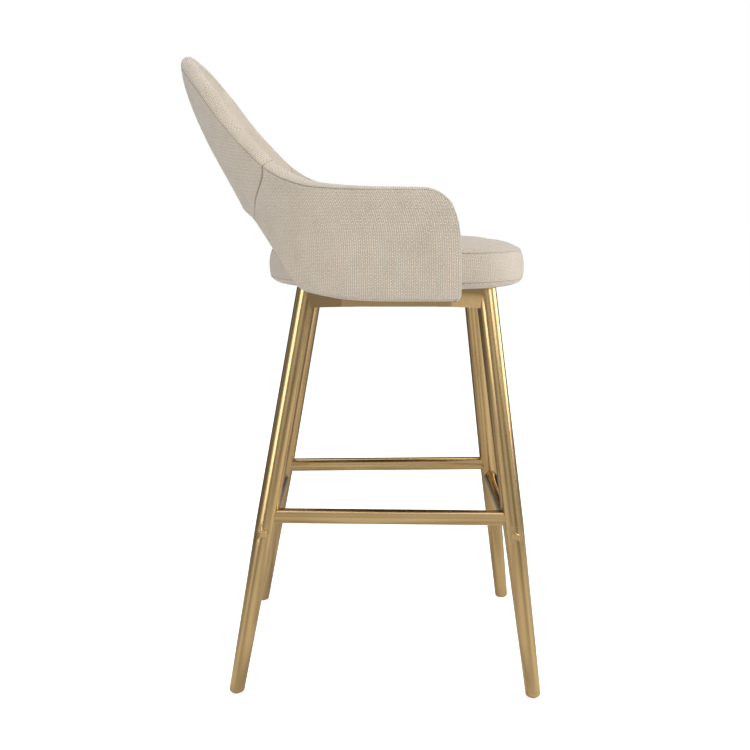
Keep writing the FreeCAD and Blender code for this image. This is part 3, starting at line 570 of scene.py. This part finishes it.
# %% Slackness of the cloth
SWELL, SWELL_REACH, SWELL_POWER = 1.0 * MM, 30 * MM, 0.6
WAVE, WAVE_REACH, WAVE_SCALE = 0.7 * MM, 12 * MM, 16
PUCKER, PUCKER_REACH, PUCKER_SCALE = 0.35 * MM, 9 * MM, 110
PUCKER_START = 1.5 * MM         # right at the seam the cloth is held, so it doesn't pucker


def slackness(point, edge_distance):
    """Small outward movement of the cloth: a soft swell, gentle waves and puckers by the seam."""
    swell = SWELL * min(edge_distance / SWELL_REACH, 1) ** SWELL_POWER
    wave = WAVE * noise.noise(point * WAVE_SCALE) * min(edge_distance / WAVE_REACH, 1)
    near_seam = math.exp(-edge_distance / PUCKER_REACH) * min(edge_distance / PUCKER_START, 1)
    pucker = PUCKER * noise.noise(point * PUCKER_SCALE) * near_seam
    return swell + wave + pucker


print("the cloth swells by up to", SWELL, "m")

# %% A panel from a grid
FACING_SAMPLES = 50             # faces that are asked which way they point


def cloth_piece(name, across, along, place, outward, thickness, replaced):
    """A sewn piece from a flat grid.

    across and along are the grid's lines, as shares from 0 to 1. place(u, v) gives the point, its
    place on the flat cloth and its distance from a seam. outward(u, v) gives the way out there."""
    mesh = bpy.data.meshes.new(name)
    shape = bmesh.new()
    columns, rows = len(across) - 1, len(along) - 1
    bmesh.ops.create_grid(shape, x_segments=columns, y_segments=rows, size=1.0)
    layer = shape.loops.layers.uv.new("cloth")
    # painted shade: each point carries how much its seam's crease darkens the cloth
    painted_seam_shade = shape.verts.layers.float.new("seam")
    flat = {}
    facing = 0.0
    for vert in shape.verts:
        u = across[round((vert.co.x + 1) / 2 * columns)]
        v = along[round((vert.co.y + 1) / 2 * rows)]
        vert.co, cloth_place, seam_away = place(u, v)
        vert[painted_seam_shade] = crease_shade_at(seam_away)
        flat[vert.index] = (cloth_place, (u, v))
    for face in shape.faces:
        face.smooth = True
        for loop in face.loops:
            loop[layer].uv = flat[loop.vert.index][0]
    shape.faces.ensure_lookup_table()
    for face in list(shape.faces)[:: max(1, len(shape.faces) // FACING_SAMPLES)]:
        face.normal_update()
        u, v = flat[face.verts[0].index][1]
        facing += face.normal.dot(outward(u, v))
    if facing < 0:
        bmesh.ops.reverse_faces(shape, faces=shape.faces)
    shape.to_mesh(mesh)
    shape.free()
    piece = bpy.data.objects.new(name, mesh)
    bpy.context.collection.objects.link(piece)
    mesh.materials.append(cloth_material)
    wall = piece.modifiers.new("thickness", "SOLIDIFY")
    wall.thickness = thickness
    wall.offset = -1
    round_off = piece.modifiers.new("rounding", "SUBSURF")
    round_off.levels = 1
    round_off.render_levels = 1
    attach(piece, "root")
    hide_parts(*replaced)
    print(name, "has", len(mesh.polygons), "faces")
    return piece


# %% [markdown]
# ## The panels of the shell
# The shell has an outer and an inner skin, each cut in three: a back panel and two side panels that meet at
# the slanted seams. The side panels run forward to the front of the arms. The inner skin is stretched over
# thick foam, so it is padded. Its pieces are as thick as cover and foam together.

# %% How the seams of the shell vary
PANEL_STEP = 5 * MM
STRIP_STEP = 2.5 * MM
OUTER_PANEL = OUTER_COVER - 1 * MM
INNER_PANEL = SHELL_THICKNESS - INNER_PAD_START
INNER_SHADE_OFFSET = 0.9 * MM       # the foam draws the inner seams flatter, so their painted shade starts this much further from the seam
ARM_SHADE_OFFSET = 1.5 * MM
ARM_SHADE_FADES = (75, 100)
LOWER_ROLL = 0.4                # how deep the soft lower edge rolls, as a share of a seam's roll
ROLL_LOSS = 0.75                # how much of the roll is gone at the front of the arm
ROLL_FADES = (60, 100)


def roll_share(angle):
    """How deep the edges roll, from full at the back to a little at the front of the arm."""
    return 1 - ROLL_LOSS * share_between(abs(angle), *ROLL_FADES)


def arm_shade_fade(angle):
    """The arm's seams are pressed open and lie flatter, so their painted shade starts further from the seam
    and fades out towards the arm's front.
    """
    return ARM_SHADE_OFFSET * share_between(abs(angle), *ARM_SHADE_FADES)


print("edges at the arm's front roll by", round(ROLL * roll_share(ARM_FRONT), 5), "m")

# %% Outer and inner panels
def wall_panel(name, first, last, depth, thickness, replaced):
    """A panel between two side lines, each giving the angle at a share of the height."""
    inside = depth > 0
    width = SHELL_HALF_WIDTH * math.radians(abs(last(0.5) - first(0.5)))
    middle = (first(0.5) + last(0.5)) / 2
    tall = rim_height(middle) - lower_height(middle)

    def spot(u, v):
        angle = first(v) + (last(v) - first(v)) * u
        low, high = lower_height(angle), rim_height(angle)
        return angle, low + (high - low) * v, high - low

    def outward(u, v):
        angle, height, _ = spot(u, v)
        normal = shell_normal(angle, height)
        return -normal if inside else normal

    def place(u, v):
        angle, height, span = spot(u, v)
        reach = SHELL_HALF_WIDTH * math.radians(abs(last(v) - first(v)))
        seam = min(u * reach, (1 - u) * reach, (1 - v) * span)
        low_edge = v * span
        edge = min(seam, low_edge)
        point = shell_point(angle, height)
        # a metre higher up the noise, the inner side gets waves of its own
        puff = slackness(point + Vector((0, 0, 1 if inside else 0)), edge)
        roll = max(roll_depth(seam), LOWER_ROLL * roll_depth(low_edge))
        puff -= roll * roll_share(angle) + hem_depth(angle, low_edge)
        surface = point - shell_normal(angle, height) * depth
        # the third value sets the painted seam shade, kept further off on the arm and on the inner side
        return (surface + outward(u, v) * puff, (SHELL_HALF_WIDTH * math.radians(angle), height),
                seam + arm_shade_fade(angle) + (INNER_SHADE_OFFSET if inside else 0))

    return cloth_piece(name, stations(width, PANEL_STEP), stations(tall, PANEL_STEP), place, outward,
                       thickness, replaced)


def seam_line(side):
    return lambda share: side * side_seam(share)


def arm_front_line(side):
    return lambda share: side * ARM_FRONT


def build_panels():
    wall_panel("outer_back_cover", seam_line(-1), seam_line(1), 0, OUTER_PANEL, ["outer_back_panel"])
    wall_panel("inner_back_pad", seam_line(-1), seam_line(1), SHELL_THICKNESS, INNER_PANEL,
               ["inner_back_panel", "back_foam"])
    for name, side in (("left", 1), ("right", -1)):
        wall_panel("outer_side_cover_" + name, seam_line(side), arm_front_line(side), 0,
                   OUTER_PANEL, ["outer_side_panel_" + name])
        wall_panel("inner_arm_pad_" + name, seam_line(side), arm_front_line(side), SHELL_THICKNESS,
                   INNER_PANEL, ["inner_side_panel_" + name, "arm_foam_" + name])


build_panels()

# %% [markdown]
# ## The strips that close the shell's edges
# A boxing strip closes the shell along its rim, down the front of each arm and round the lower
# corner. A second one closes the lower edge and the arch. Each is as wide as the shell is thick and is
# domed by the wadding under it. It is a grid again: along the edge one way, over a half ellipse the other.

# %% Following a path
def rim_crown(angle):
    """How far the rim's strip is domed, most at the top of the back."""
    return RIM_CROWN_ARM + (RIM_CROWN_BACK - RIM_CROWN_ARM) * smooth_table(RIM_SHAPE, angle) ** CROWN_FADE


def path_lengths(path):
    """Distance along a path of (angle, height) at each of its points."""
    lengths = [0.0]
    for before, after in zip(path, path[1:]):
        lengths.append(lengths[-1] + (shell_point(*after) - shell_point(*before)).length)
    return lengths


def reading(path, lengths, share):
    """The (angle, height) at a share of a path's length."""
    target = share * lengths[-1]
    i = next(k for k in range(len(path) - 1) if target <= lengths[k + 1] + 1e-9)
    t = (target - lengths[i]) / max(lengths[i + 1] - lengths[i], 1e-9)
    return tuple(a + (b - a) * t for a, b in zip(path[i], path[i + 1]))


def even_path(start, stop, steps, height):
    return [(start + (stop - start) * i / steps, height(start + (stop - start) * i / steps))
            for i in range(steps + 1)]


print("the rim's dome is", rim_crown(0), "m high at the back and", rim_crown(ARM_FRONT), "m on the arms")

# %% A strip along a path
DIRECTION_STEP = 3 * MM
DOME_LENGTH = 1.3               # length over the dome for a width of one
NO_SEAM = 1.0                   # a distance so large that nothing shades


def edge_strip(name, path, crown, replaced, hem=False, first_turn=0.0):
    """A domed strip along a path of (angle, height) on the shell's outer face."""
    lengths = path_lengths(path)
    total = lengths[-1]

    def section(u, v):
        """Middle of the edge, the shell's normal, the way out past the edge, and the turn."""
        here = reading(path, lengths, u)
        before = reading(path, lengths, max(u - DIRECTION_STEP / total, 0))
        after = reading(path, lengths, min(u + DIRECTION_STEP / total, 1))
        normal = shell_normal(*here)
        away = (shell_point(*after) - shell_point(*before)).cross(normal).normalized()
        turn = first_turn + (math.pi - 2 * first_turn) * v
        return here, shell_point(*here) - normal * (SHELL_THICKNESS / 2), normal, away, turn

    def outward(u, v):
        _, _, normal, away, turn = section(u, v)
        return (normal * math.cos(turn) + away * math.sin(turn)).normalized()

    def place(u, v):
        here, middle, normal, away, turn = section(u, v)
        half = (SHELL_THICKNESS / 2 - (hem_size(here[0]) if hem else 0)) / math.cos(first_turn)
        side = min(v, 1 - v) * 2 * half
        end = min(u, 1 - u) * total
        dome = crown(here[0]) * (math.sin(turn) - math.sin(first_turn))
        point = middle + normal * half * math.cos(turn) + away * dome
        puff = 0.5 * slackness(point, min(side, end))
        puff -= max(roll_depth(end), roll_depth(side) * (LOWER_ROLL if hem else 1.0)) * roll_share(here[0])
        # painted seam shade, kept further off on the arm and on the strip's inner half
        seam = side + arm_shade_fade(here[0]) + (INNER_SHADE_OFFSET if v > 0.5 else 0)
        return (point + outward(u, v) * puff, (u * total, v * 2 * half),
                min(end, NO_SEAM if hem else seam))

    return cloth_piece(name, stations(total, PANEL_STEP), stations(SHELL_THICKNESS * DOME_LENGTH, STRIP_STEP),
                       place, outward, CLOTH, replaced)


print("strips are", SHELL_THICKNESS, "m wide")

# %% The rim and the lower edge
CORNER_STARTS = ARM_FRONT - 8   # the rim's path has closer points from just past here
CORNER_NEXT = ARM_FRONT - 7.8
UNDER_NEXT = ARM_FRONT - 0.1
BACK_STEPS, RIM_STEPS, CORNER_STEPS, DOWN_STEPS, UNDER_STEPS, HEM_STEPS = 60, 40, 40, 12, 12, 90


def build_strips():
    back = even_path(-SIDE_SEAM_HIGH, SIDE_SEAM_HIGH, BACK_STEPS, rim_height)
    edge_strip("back_rim_strip", back, rim_crown, ["rim_band_back"])
    corner = math.degrees(ARM_LOWER_CORNER / SHELL_HALF_WIDTH)
    top, low = rim_height(ARM_FRONT), lower_height(ARM_FRONT)
    for name, side in (("left", 1), ("right", -1)):
        over = even_path(SIDE_SEAM_HIGH, CORNER_STARTS, RIM_STEPS, rim_height)
        over += even_path(CORNER_NEXT, ARM_FRONT, CORNER_STEPS, rim_height)
        down = [(ARM_FRONT, top + (low - top) * i / DOWN_STEPS) for i in range(1, DOWN_STEPS + 1)]
        under = even_path(UNDER_NEXT, ARM_FRONT - corner, UNDER_STEPS, lower_height)
        rim = [(side * angle, height) for angle, height in over + down + under]
        hem = [(side * angle, height) for angle, height in
               even_path(ARM_FRONT - corner, 0, HEM_STEPS, lower_height)]
        if side < 0:
            rim.reverse()
            hem.reverse()
        edge_strip("arm_rim_strip_" + name, rim, rim_crown, ["rim_band_" + name])
        edge_strip("lower_edge_strip_" + name, hem, lambda angle: LOWER_EDGE_CROWN, ["lower_band_" + name],
                   hem=True, first_turn=HEM_TURN)


build_strips()

# %% [markdown]
# ## The cushion
# The cushion is a boxed pad: a domed top panel, a band round the side and an under panel, over one block
# of foam. It starts as a few stacked rings, a little smaller than the finished pad. The rings are remeshed to
# an even skin and blown up as cloth, so that the skin finds the shape that a stuffed cover takes. The seams
# are pressed in afterwards, because remeshing would lose them.

# %% The starting block
def cushion_radius(angle, inset):
    return plan_radius(angle, CUSHION_HALF_WIDTH - inset, CUSHION_HALF_DEPTH - inset,
                       CUSHION_REAR_POWER, CUSHION_FRONT_POWER)


def cushion_ring(angle, rise, inset, scale):
    radius = scale * cushion_radius(angle, inset)
    turn = math.radians(angle)
    return Vector((radius * math.sin(turn), radius * math.cos(turn) + SEAT_MIDDLE_Y, UNDERSIDE + rise))


START_SMALLER = 1.4 * MM
SEAM_TO_CROWN = CUSHION_THICKNESS - UPPER_SEAM_RISE
UPPER_SEAM_INSET = 6.5 * MM
LOWER_SEAM_INSET = 3 * MM
RING_POINTS = 96
CROWN_SHAPE = [(0.972, 0.38), (0.923, 0.67), (0.859, 0.84), (0.70, 0.96), (0.45, 1.0)]
# each level: rise over the underside, inset from the widest line, share of the plan's size
CUSHION_LEVELS = [(0.0, 60 * MM, 1.0), (0.0, 20 * MM, 1.0), (3.2 * MM, 10 * MM, 1.0),
                  (LOWER_SEAM_RISE, LOWER_SEAM_INSET, 1.0), (21 * MM, 0.6 * MM + START_SMALLER, 1.0),
                  (WIDEST_RISE, START_SMALLER, 1.0), (46 * MM, 1.6 * MM + START_SMALLER, 1.0),
                  (UPPER_SEAM_RISE, UPPER_SEAM_INSET, 1.0)]
CUSHION_LEVELS += [(UPPER_SEAM_RISE + SEAM_TO_CROWN * share - START_SMALLER * share, UPPER_SEAM_INSET, scale)
                   for scale, share in CROWN_SHAPE]


def cushion_block():
    shape = bmesh.new()
    bmesh.ops.create_circle(shape, cap_ends=False, segments=RING_POINTS, radius=1.0)
    ring = list(shape.verts)
    edges = list(shape.edges)
    for level, (rise, inset, scale) in enumerate(CUSHION_LEVELS):
        if level:
            made = bmesh.ops.extrude_edge_only(shape, edges=edges)["geom"]
            ring = [g for g in made if isinstance(g, bmesh.types.BMVert)]
            edges = [g for g in made if isinstance(g, bmesh.types.BMEdge)
                     and all(v in ring for v in g.verts)]
        for vert in ring:
            angle = math.degrees(math.atan2(vert.co.x, vert.co.y - (SEAT_MIDDLE_Y if level else 0)))
            vert.co = cushion_ring(angle, rise, inset, scale)
    bmesh.ops.holes_fill(shape, edges=[e for e in shape.edges if e.is_boundary], sides=0)
    bmesh.ops.recalc_face_normals(shape, faces=shape.faces)
    mesh = bpy.data.meshes.new("seat_cushion")
    shape.to_mesh(mesh)
    shape.free()
    piece = bpy.data.objects.new("seat_cushion", mesh)
    bpy.context.collection.objects.link(piece)
    return piece


cushion = cushion_block()
print("starting block has", len(cushion.data.vertices), "points")

# %% Blowing it up as cloth
VOXEL = 4.5 * MM
MOST_MOVE = 1.6 * MM
HELD_BY_SEAM = 3 * MM
HELD_BY_BASE = 1 * MM
LAST_FRAME = 20
SIDE_STARTS = 0.17              # from the seat's middle; nearer than this there is no seam


def seam_distance(point):
    """How far a point of the skin lies above or below the nearer seam."""
    if Vector((point.x, point.y - SEAT_MIDDLE_Y)).length < SIDE_STARTS:
        return 1.0
    rise = point.z - UNDERSIDE
    return min(abs(rise - UPPER_SEAM_RISE), abs(rise - LOWER_SEAM_RISE))


def apply_modifiers(piece):
    """Writes the result of a piece's modifiers into its mesh."""
    view = bpy.context.evaluated_depsgraph_get()
    result = bpy.data.meshes.new_from_object(piece.evaluated_get(view), depsgraph=view)
    piece.modifiers.clear()
    piece.data = result


def inflate(piece):
    remesh = piece.modifiers.new("even_skin", "REMESH")
    remesh.mode = "VOXEL"
    remesh.voxel_size = VOXEL
    apply_modifiers(piece)
    start = [v.co.copy() for v in piece.data.vertices]
    held = piece.vertex_groups.new(name="seams_and_base")
    held.add([i for i, p in enumerate(start)
              if seam_distance(p) < HELD_BY_SEAM or p.z < UNDERSIDE + HELD_BY_BASE], 1.0, "REPLACE")
    cloth = piece.modifiers.new("stuffing", "CLOTH")
    settings = cloth.settings
    settings.quality = 4
    settings.mass = 0.3
    settings.vertex_group_mass = held.name
    settings.use_pressure = True
    settings.uniform_pressure_force = 4
    settings.tension_stiffness = 15
    settings.compression_stiffness = 15
    settings.bending_stiffness = 0.5
    settings.effector_weights.gravity = 0
    cloth.point_cache.frame_start = 1
    cloth.point_cache.frame_end = LAST_FRAME
    for step in range(1, LAST_FRAME + 1):
        bpy.context.scene.frame_set(step)
    apply_modifiers(piece)
    bpy.context.scene.frame_set(1)
    for vert, home in zip(piece.data.vertices, start):
        move = vert.co - home
        if move.length > MOST_MOVE:
            vert.co = home + move * (MOST_MOVE / move.length)
        vert.co.z = max(vert.co.z, UNDERSIDE)


inflate(cushion)
print("cushion skin has", len(cushion.data.vertices), "points")

# %% Pulling the skin to its seams
SEAM_PULL, PULL_POWER = 4.5 * MM, 1.5


def cushion_angle(point):
    return math.degrees(math.atan2(point.x, point.y - SEAT_MIDDLE_Y))


def pull_to_seam(point):
    """Draws the skin near a seam on to the seam's own line, so that the panels meet in a crisp corner."""
    flat = Vector((point.x, point.y - SEAT_MIDDLE_Y))
    rise = point.z - UNDERSIDE
    upper = abs(rise - UPPER_SEAM_RISE) < abs(rise - LOWER_SEAM_RISE)
    inset = UPPER_SEAM_INSET if upper else LOWER_SEAM_INSET
    target = cushion_radius(cushion_angle(point), inset)
    share = max(1 - seam_distance(point) / SEAM_PULL, 0) ** PULL_POWER
    flat *= 1 + share * (target / flat.length - 1)
    return Vector((flat.x, flat.y + SEAT_MIDDLE_Y, point.z))


print("seams pull the skin from", SEAM_PULL, "m away")

# %% Pressing in the seams, painting their shade and mapping the weave
FINE_SKIN = 5 * MM              # the skin is finer within this distance of a seam
GROOVE, GROOVE_WIDTH = 1.2 * MM, 1.0 * MM
CREASE, CREASE_REACH, CREASE_SCALE = 0.45 * MM, 10 * MM, 90
SITTING_WAVE, SITTING_SCALE = 0.9 * MM, 14
FLAT_BASE = 3 * MM              # below this rise the cushion lies on its board


def press_seams(piece):
    """Fine skin, grooves along both seams, small puckers beside them, painted shade in the seams, and the
    flat map.
    """
    shape = bmesh.new()
    shape.from_mesh(piece.data)
    near = [face for face in shape.faces if seam_distance(face.calc_center_median()) < FINE_SKIN]
    edges = list({edge for face in near for edge in face.edges})
    bmesh.ops.subdivide_edges(shape, edges=edges, cuts=2, use_grid_fill=True)
    bmesh.ops.triangulate(shape, faces=[f for f in shape.faces if len(f.verts) > 4])
    for vert in shape.verts:
        if seam_distance(vert.co) < SEAM_PULL:
            vert.co = pull_to_seam(vert.co)
    shape.normal_update()
    moves = []
    for vert in shape.verts:
        distance = seam_distance(vert.co)
        out = CREASE * noise.noise(vert.co * CREASE_SCALE) * math.exp(-distance / CREASE_REACH)
        out -= GROOVE * math.exp(-(distance / GROOVE_WIDTH) ** 2)
        if vert.co.z > UNDERSIDE + FLAT_BASE:
            out += SITTING_WAVE * noise.noise(vert.co * SITTING_SCALE)
        moves.append(vert.normal * out)
    for vert, move in zip(shape.verts, moves):
        vert.co += move
        vert.co.z = max(vert.co.z, UNDERSIDE)
    layer = shape.loops.layers.uv.new("cloth")
    # painted shade in the creases of the seams
    painted_seam_shade = shape.verts.layers.float.new("seam")
    for vert in shape.verts:
        vert[painted_seam_shade] = crease_shade_at(seam_distance(vert.co))
    for face in shape.faces:
        face.smooth = True
        centre = face.calc_center_median()
        rise = centre.z - UNDERSIDE
        side = LOWER_SEAM_RISE < rise < UPPER_SEAM_RISE
        home = cushion_angle(centre)
        for loop in face.loops:
            point = loop.vert.co
            if side:
                turn = (cushion_angle(point) - home + 180) % 360 - 180 + home
                loop[layer].uv = (math.radians(turn) * CUSHION_HALF_WIDTH, point.z)
            else:
                loop[layer].uv = (point.x, point.y)
    shape.to_mesh(piece.data)
    shape.free()


press_seams(cushion)
cushion.data.materials.clear()
cushion.data.materials.append(cloth_material)
rounding = cushion.modifiers.new("rounding", "SUBSURF")
rounding.levels = 1
rounding.render_levels = 1
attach(cushion, "root")
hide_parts("seat_top_panel", "seat_band", "seat_under_panel", "seat_foam")
print("finished cushion has", len(cushion.data.polygons), "faces")

# %% [markdown]
# ## Floor, light and camera
# The stool stands on a plain white floor. Four large soft lights, from both sides, in front and above, light
# the cloth. Metal shows what is round it, so the room and the floor have bright and dark bands for the tubes
# to mirror as long streaks. The camera stands at the stool's side, a little above the seat.

# %% The floor
PANELS = 6                      # bright panels round the room, with dark gaps between them
FLOOR_SIZE = 30
FLOOR_WHITE = 0.93
FLOOR_GLOW = 0.72
FLOOR_BANDS = (0.20, 0.85)      # how strong the mirrored bands are, and how bright
FLOOR_FADE = (-0.9, 1.1, 0.3)   # towards the far side: slope, start and darkest
ROOM_FADE = (-1.4, 1.1, 0.08)


def fade(calc, value, slope, start, darkest):
    """Falls along a value from one to the darkest."""
    return calc("MAXIMUM", calc("MINIMUM", calc("MULTIPLY_ADD", value, slope, start), 1.0), darkest)


def panel_wave(calc, along_x, along_y):
    """Rises and falls once for each panel on the way round the room."""
    return calc("COSINE", calc("MULTIPLY", calc("ARCTAN2", along_y, along_x), PANELS))


def build_floor():
    shape = bmesh.new()
    bmesh.ops.create_grid(shape, x_segments=1, y_segments=1, size=FLOOR_SIZE)
    mesh = bpy.data.meshes.new("floor")
    shape.to_mesh(mesh)
    shape.free()
    floor = bpy.data.objects.new("floor", mesh)
    bpy.context.collection.objects.link(floor)
    material, nodes, links, shader = new_material("white_floor")
    place = nodes.new("ShaderNodeTexCoord")
    split = nodes.new("ShaderNodeSeparateXYZ")
    links.new(place.outputs["Object"], split.inputs[0])
    calc = calculator(nodes, links)
    # in the metal the floor shows the same bright and dark bands as the room, and a dark far side
    bands = calc("MULTIPLY_ADD", panel_wave(calc, split.outputs["X"], split.outputs["Y"]), *FLOOR_BANDS)
    bands = calc("MULTIPLY", bands, fade(calc, split.outputs["X"], *FLOOR_FADE))
    shader.inputs["Roughness"].default_value = 0.9
    shader.inputs["Specular IOR Level"].default_value = 0.1
    shader.inputs["Emission Color"].default_value = (1, 1, 1, 1)
    paths = nodes.new("ShaderNodeLightPath")
    mirrored = calc("MULTIPLY", paths.outputs["Is Glossy Ray"], calc("SUBTRACT", 1.0, bands))
    white = calc("MULTIPLY", calc("SUBTRACT", 1.0, mirrored), FLOOR_WHITE)
    tone = nodes.new("ShaderNodeCombineColor")
    for channel in range(3):
        links.new(white, tone.inputs[channel])
    links.new(tone.outputs[0], shader.inputs["Base Color"])
    glow = calc("MULTIPLY", paths.outputs["Is Camera Ray"], FLOOR_GLOW)
    links.new(glow, shader.inputs["Emission Strength"])
    mesh.materials.append(material)


build_floor()
print("floor made")

# %% The lights
def soft_light(name, place, aim, size, power, colour=(1, 1, 1)):
    data = bpy.data.lights.new(name, "AREA")
    data.shape = "RECTANGLE"
    data.size, data.size_y = size
    data.energy = power
    data.color = colour
    light = bpy.data.objects.new(name, data)
    light.location = place
    light.rotation_euler = (Vector(aim) - Vector(place)).to_track_quat("-Z", "Y").to_euler()
    bpy.context.collection.objects.link(light)


# name, place, point it aims at, width and height, watts, colour
soft_light("key", (-2.6, -2.2, 2.3), (0, 0, 0.6), (1.6, 2.2), 34)
soft_light("fill", (-2.4, 2.4, 1.6), (0, 0, 0.6), (1.4, 2.2), 30)
soft_light("front", (0.5, -3.2, 1.7), (0, 0, 0.8), (2.4, 2.4), 62, (1.0, 0.97, 0.97))
soft_light("top", (0.2, 0, 3.2), (0, 0, 0.5), (3.0, 3.0), 32)
print("four lights made")

# %% The room
ROOM_LIGHT = 0.46
ROOM_BANDS = 0.65               # how strong the bands are, as a share of the room's light
world = bpy.data.worlds.new("studio")
world.use_nodes = True
bpy.context.scene.world = world
room_nodes, room_links = world.node_tree.nodes, world.node_tree.links
room = calculator(room_nodes, room_links)
sky = room_nodes["Background"]
sky.inputs["Color"].default_value = (1, 1, 1, 1)
paths = room_nodes.new("ShaderNodeLightPath")
heading = room_nodes.new("ShaderNodeSeparateXYZ")
towards = room_nodes.new("ShaderNodeTexCoord")
room_links.new(towards.outputs["Generated"], heading.inputs[0])
walls = room("MULTIPLY_ADD", panel_wave(room, heading.outputs["X"], heading.outputs["Y"]),
             ROOM_BANDS * ROOM_LIGHT, ROOM_LIGHT)
# the wall behind the stool is dark, which draws a dark line down both edges of every tube
walls = room("MULTIPLY", walls, fade(room, heading.outputs["X"], *ROOM_FADE))
backdrop = paths.outputs["Is Camera Ray"]
seen = room("ADD", room("MULTIPLY", walls, room("SUBTRACT", 1.0, backdrop)), backdrop)
room_links.new(seen, sky.inputs["Strength"])
bpy.context.scene.view_settings.view_transform = "Standard"
print("room with", PANELS, "bright panels made")

# %% The camera
CAMERA_PLACE = (-2.0076, -0.0280, 0.8238)
CAMERA_DOWN = 8.96
CAMERA_TURN = -90               # it looks along +X
CAMERA_LENS = 53.75


def build_camera():
    data = bpy.data.cameras.new("camera")
    data.lens = CAMERA_LENS
    data.sensor_width = 36
    camera = bpy.data.objects.new("camera", data)
    camera.location = CAMERA_PLACE
    camera.rotation_euler = (math.radians(90 - CAMERA_DOWN), 0, math.radians(CAMERA_TURN))
    bpy.context.collection.objects.link(camera)
    bpy.context.scene.camera = camera


build_camera()
print("camera at", CAMERA_PLACE)
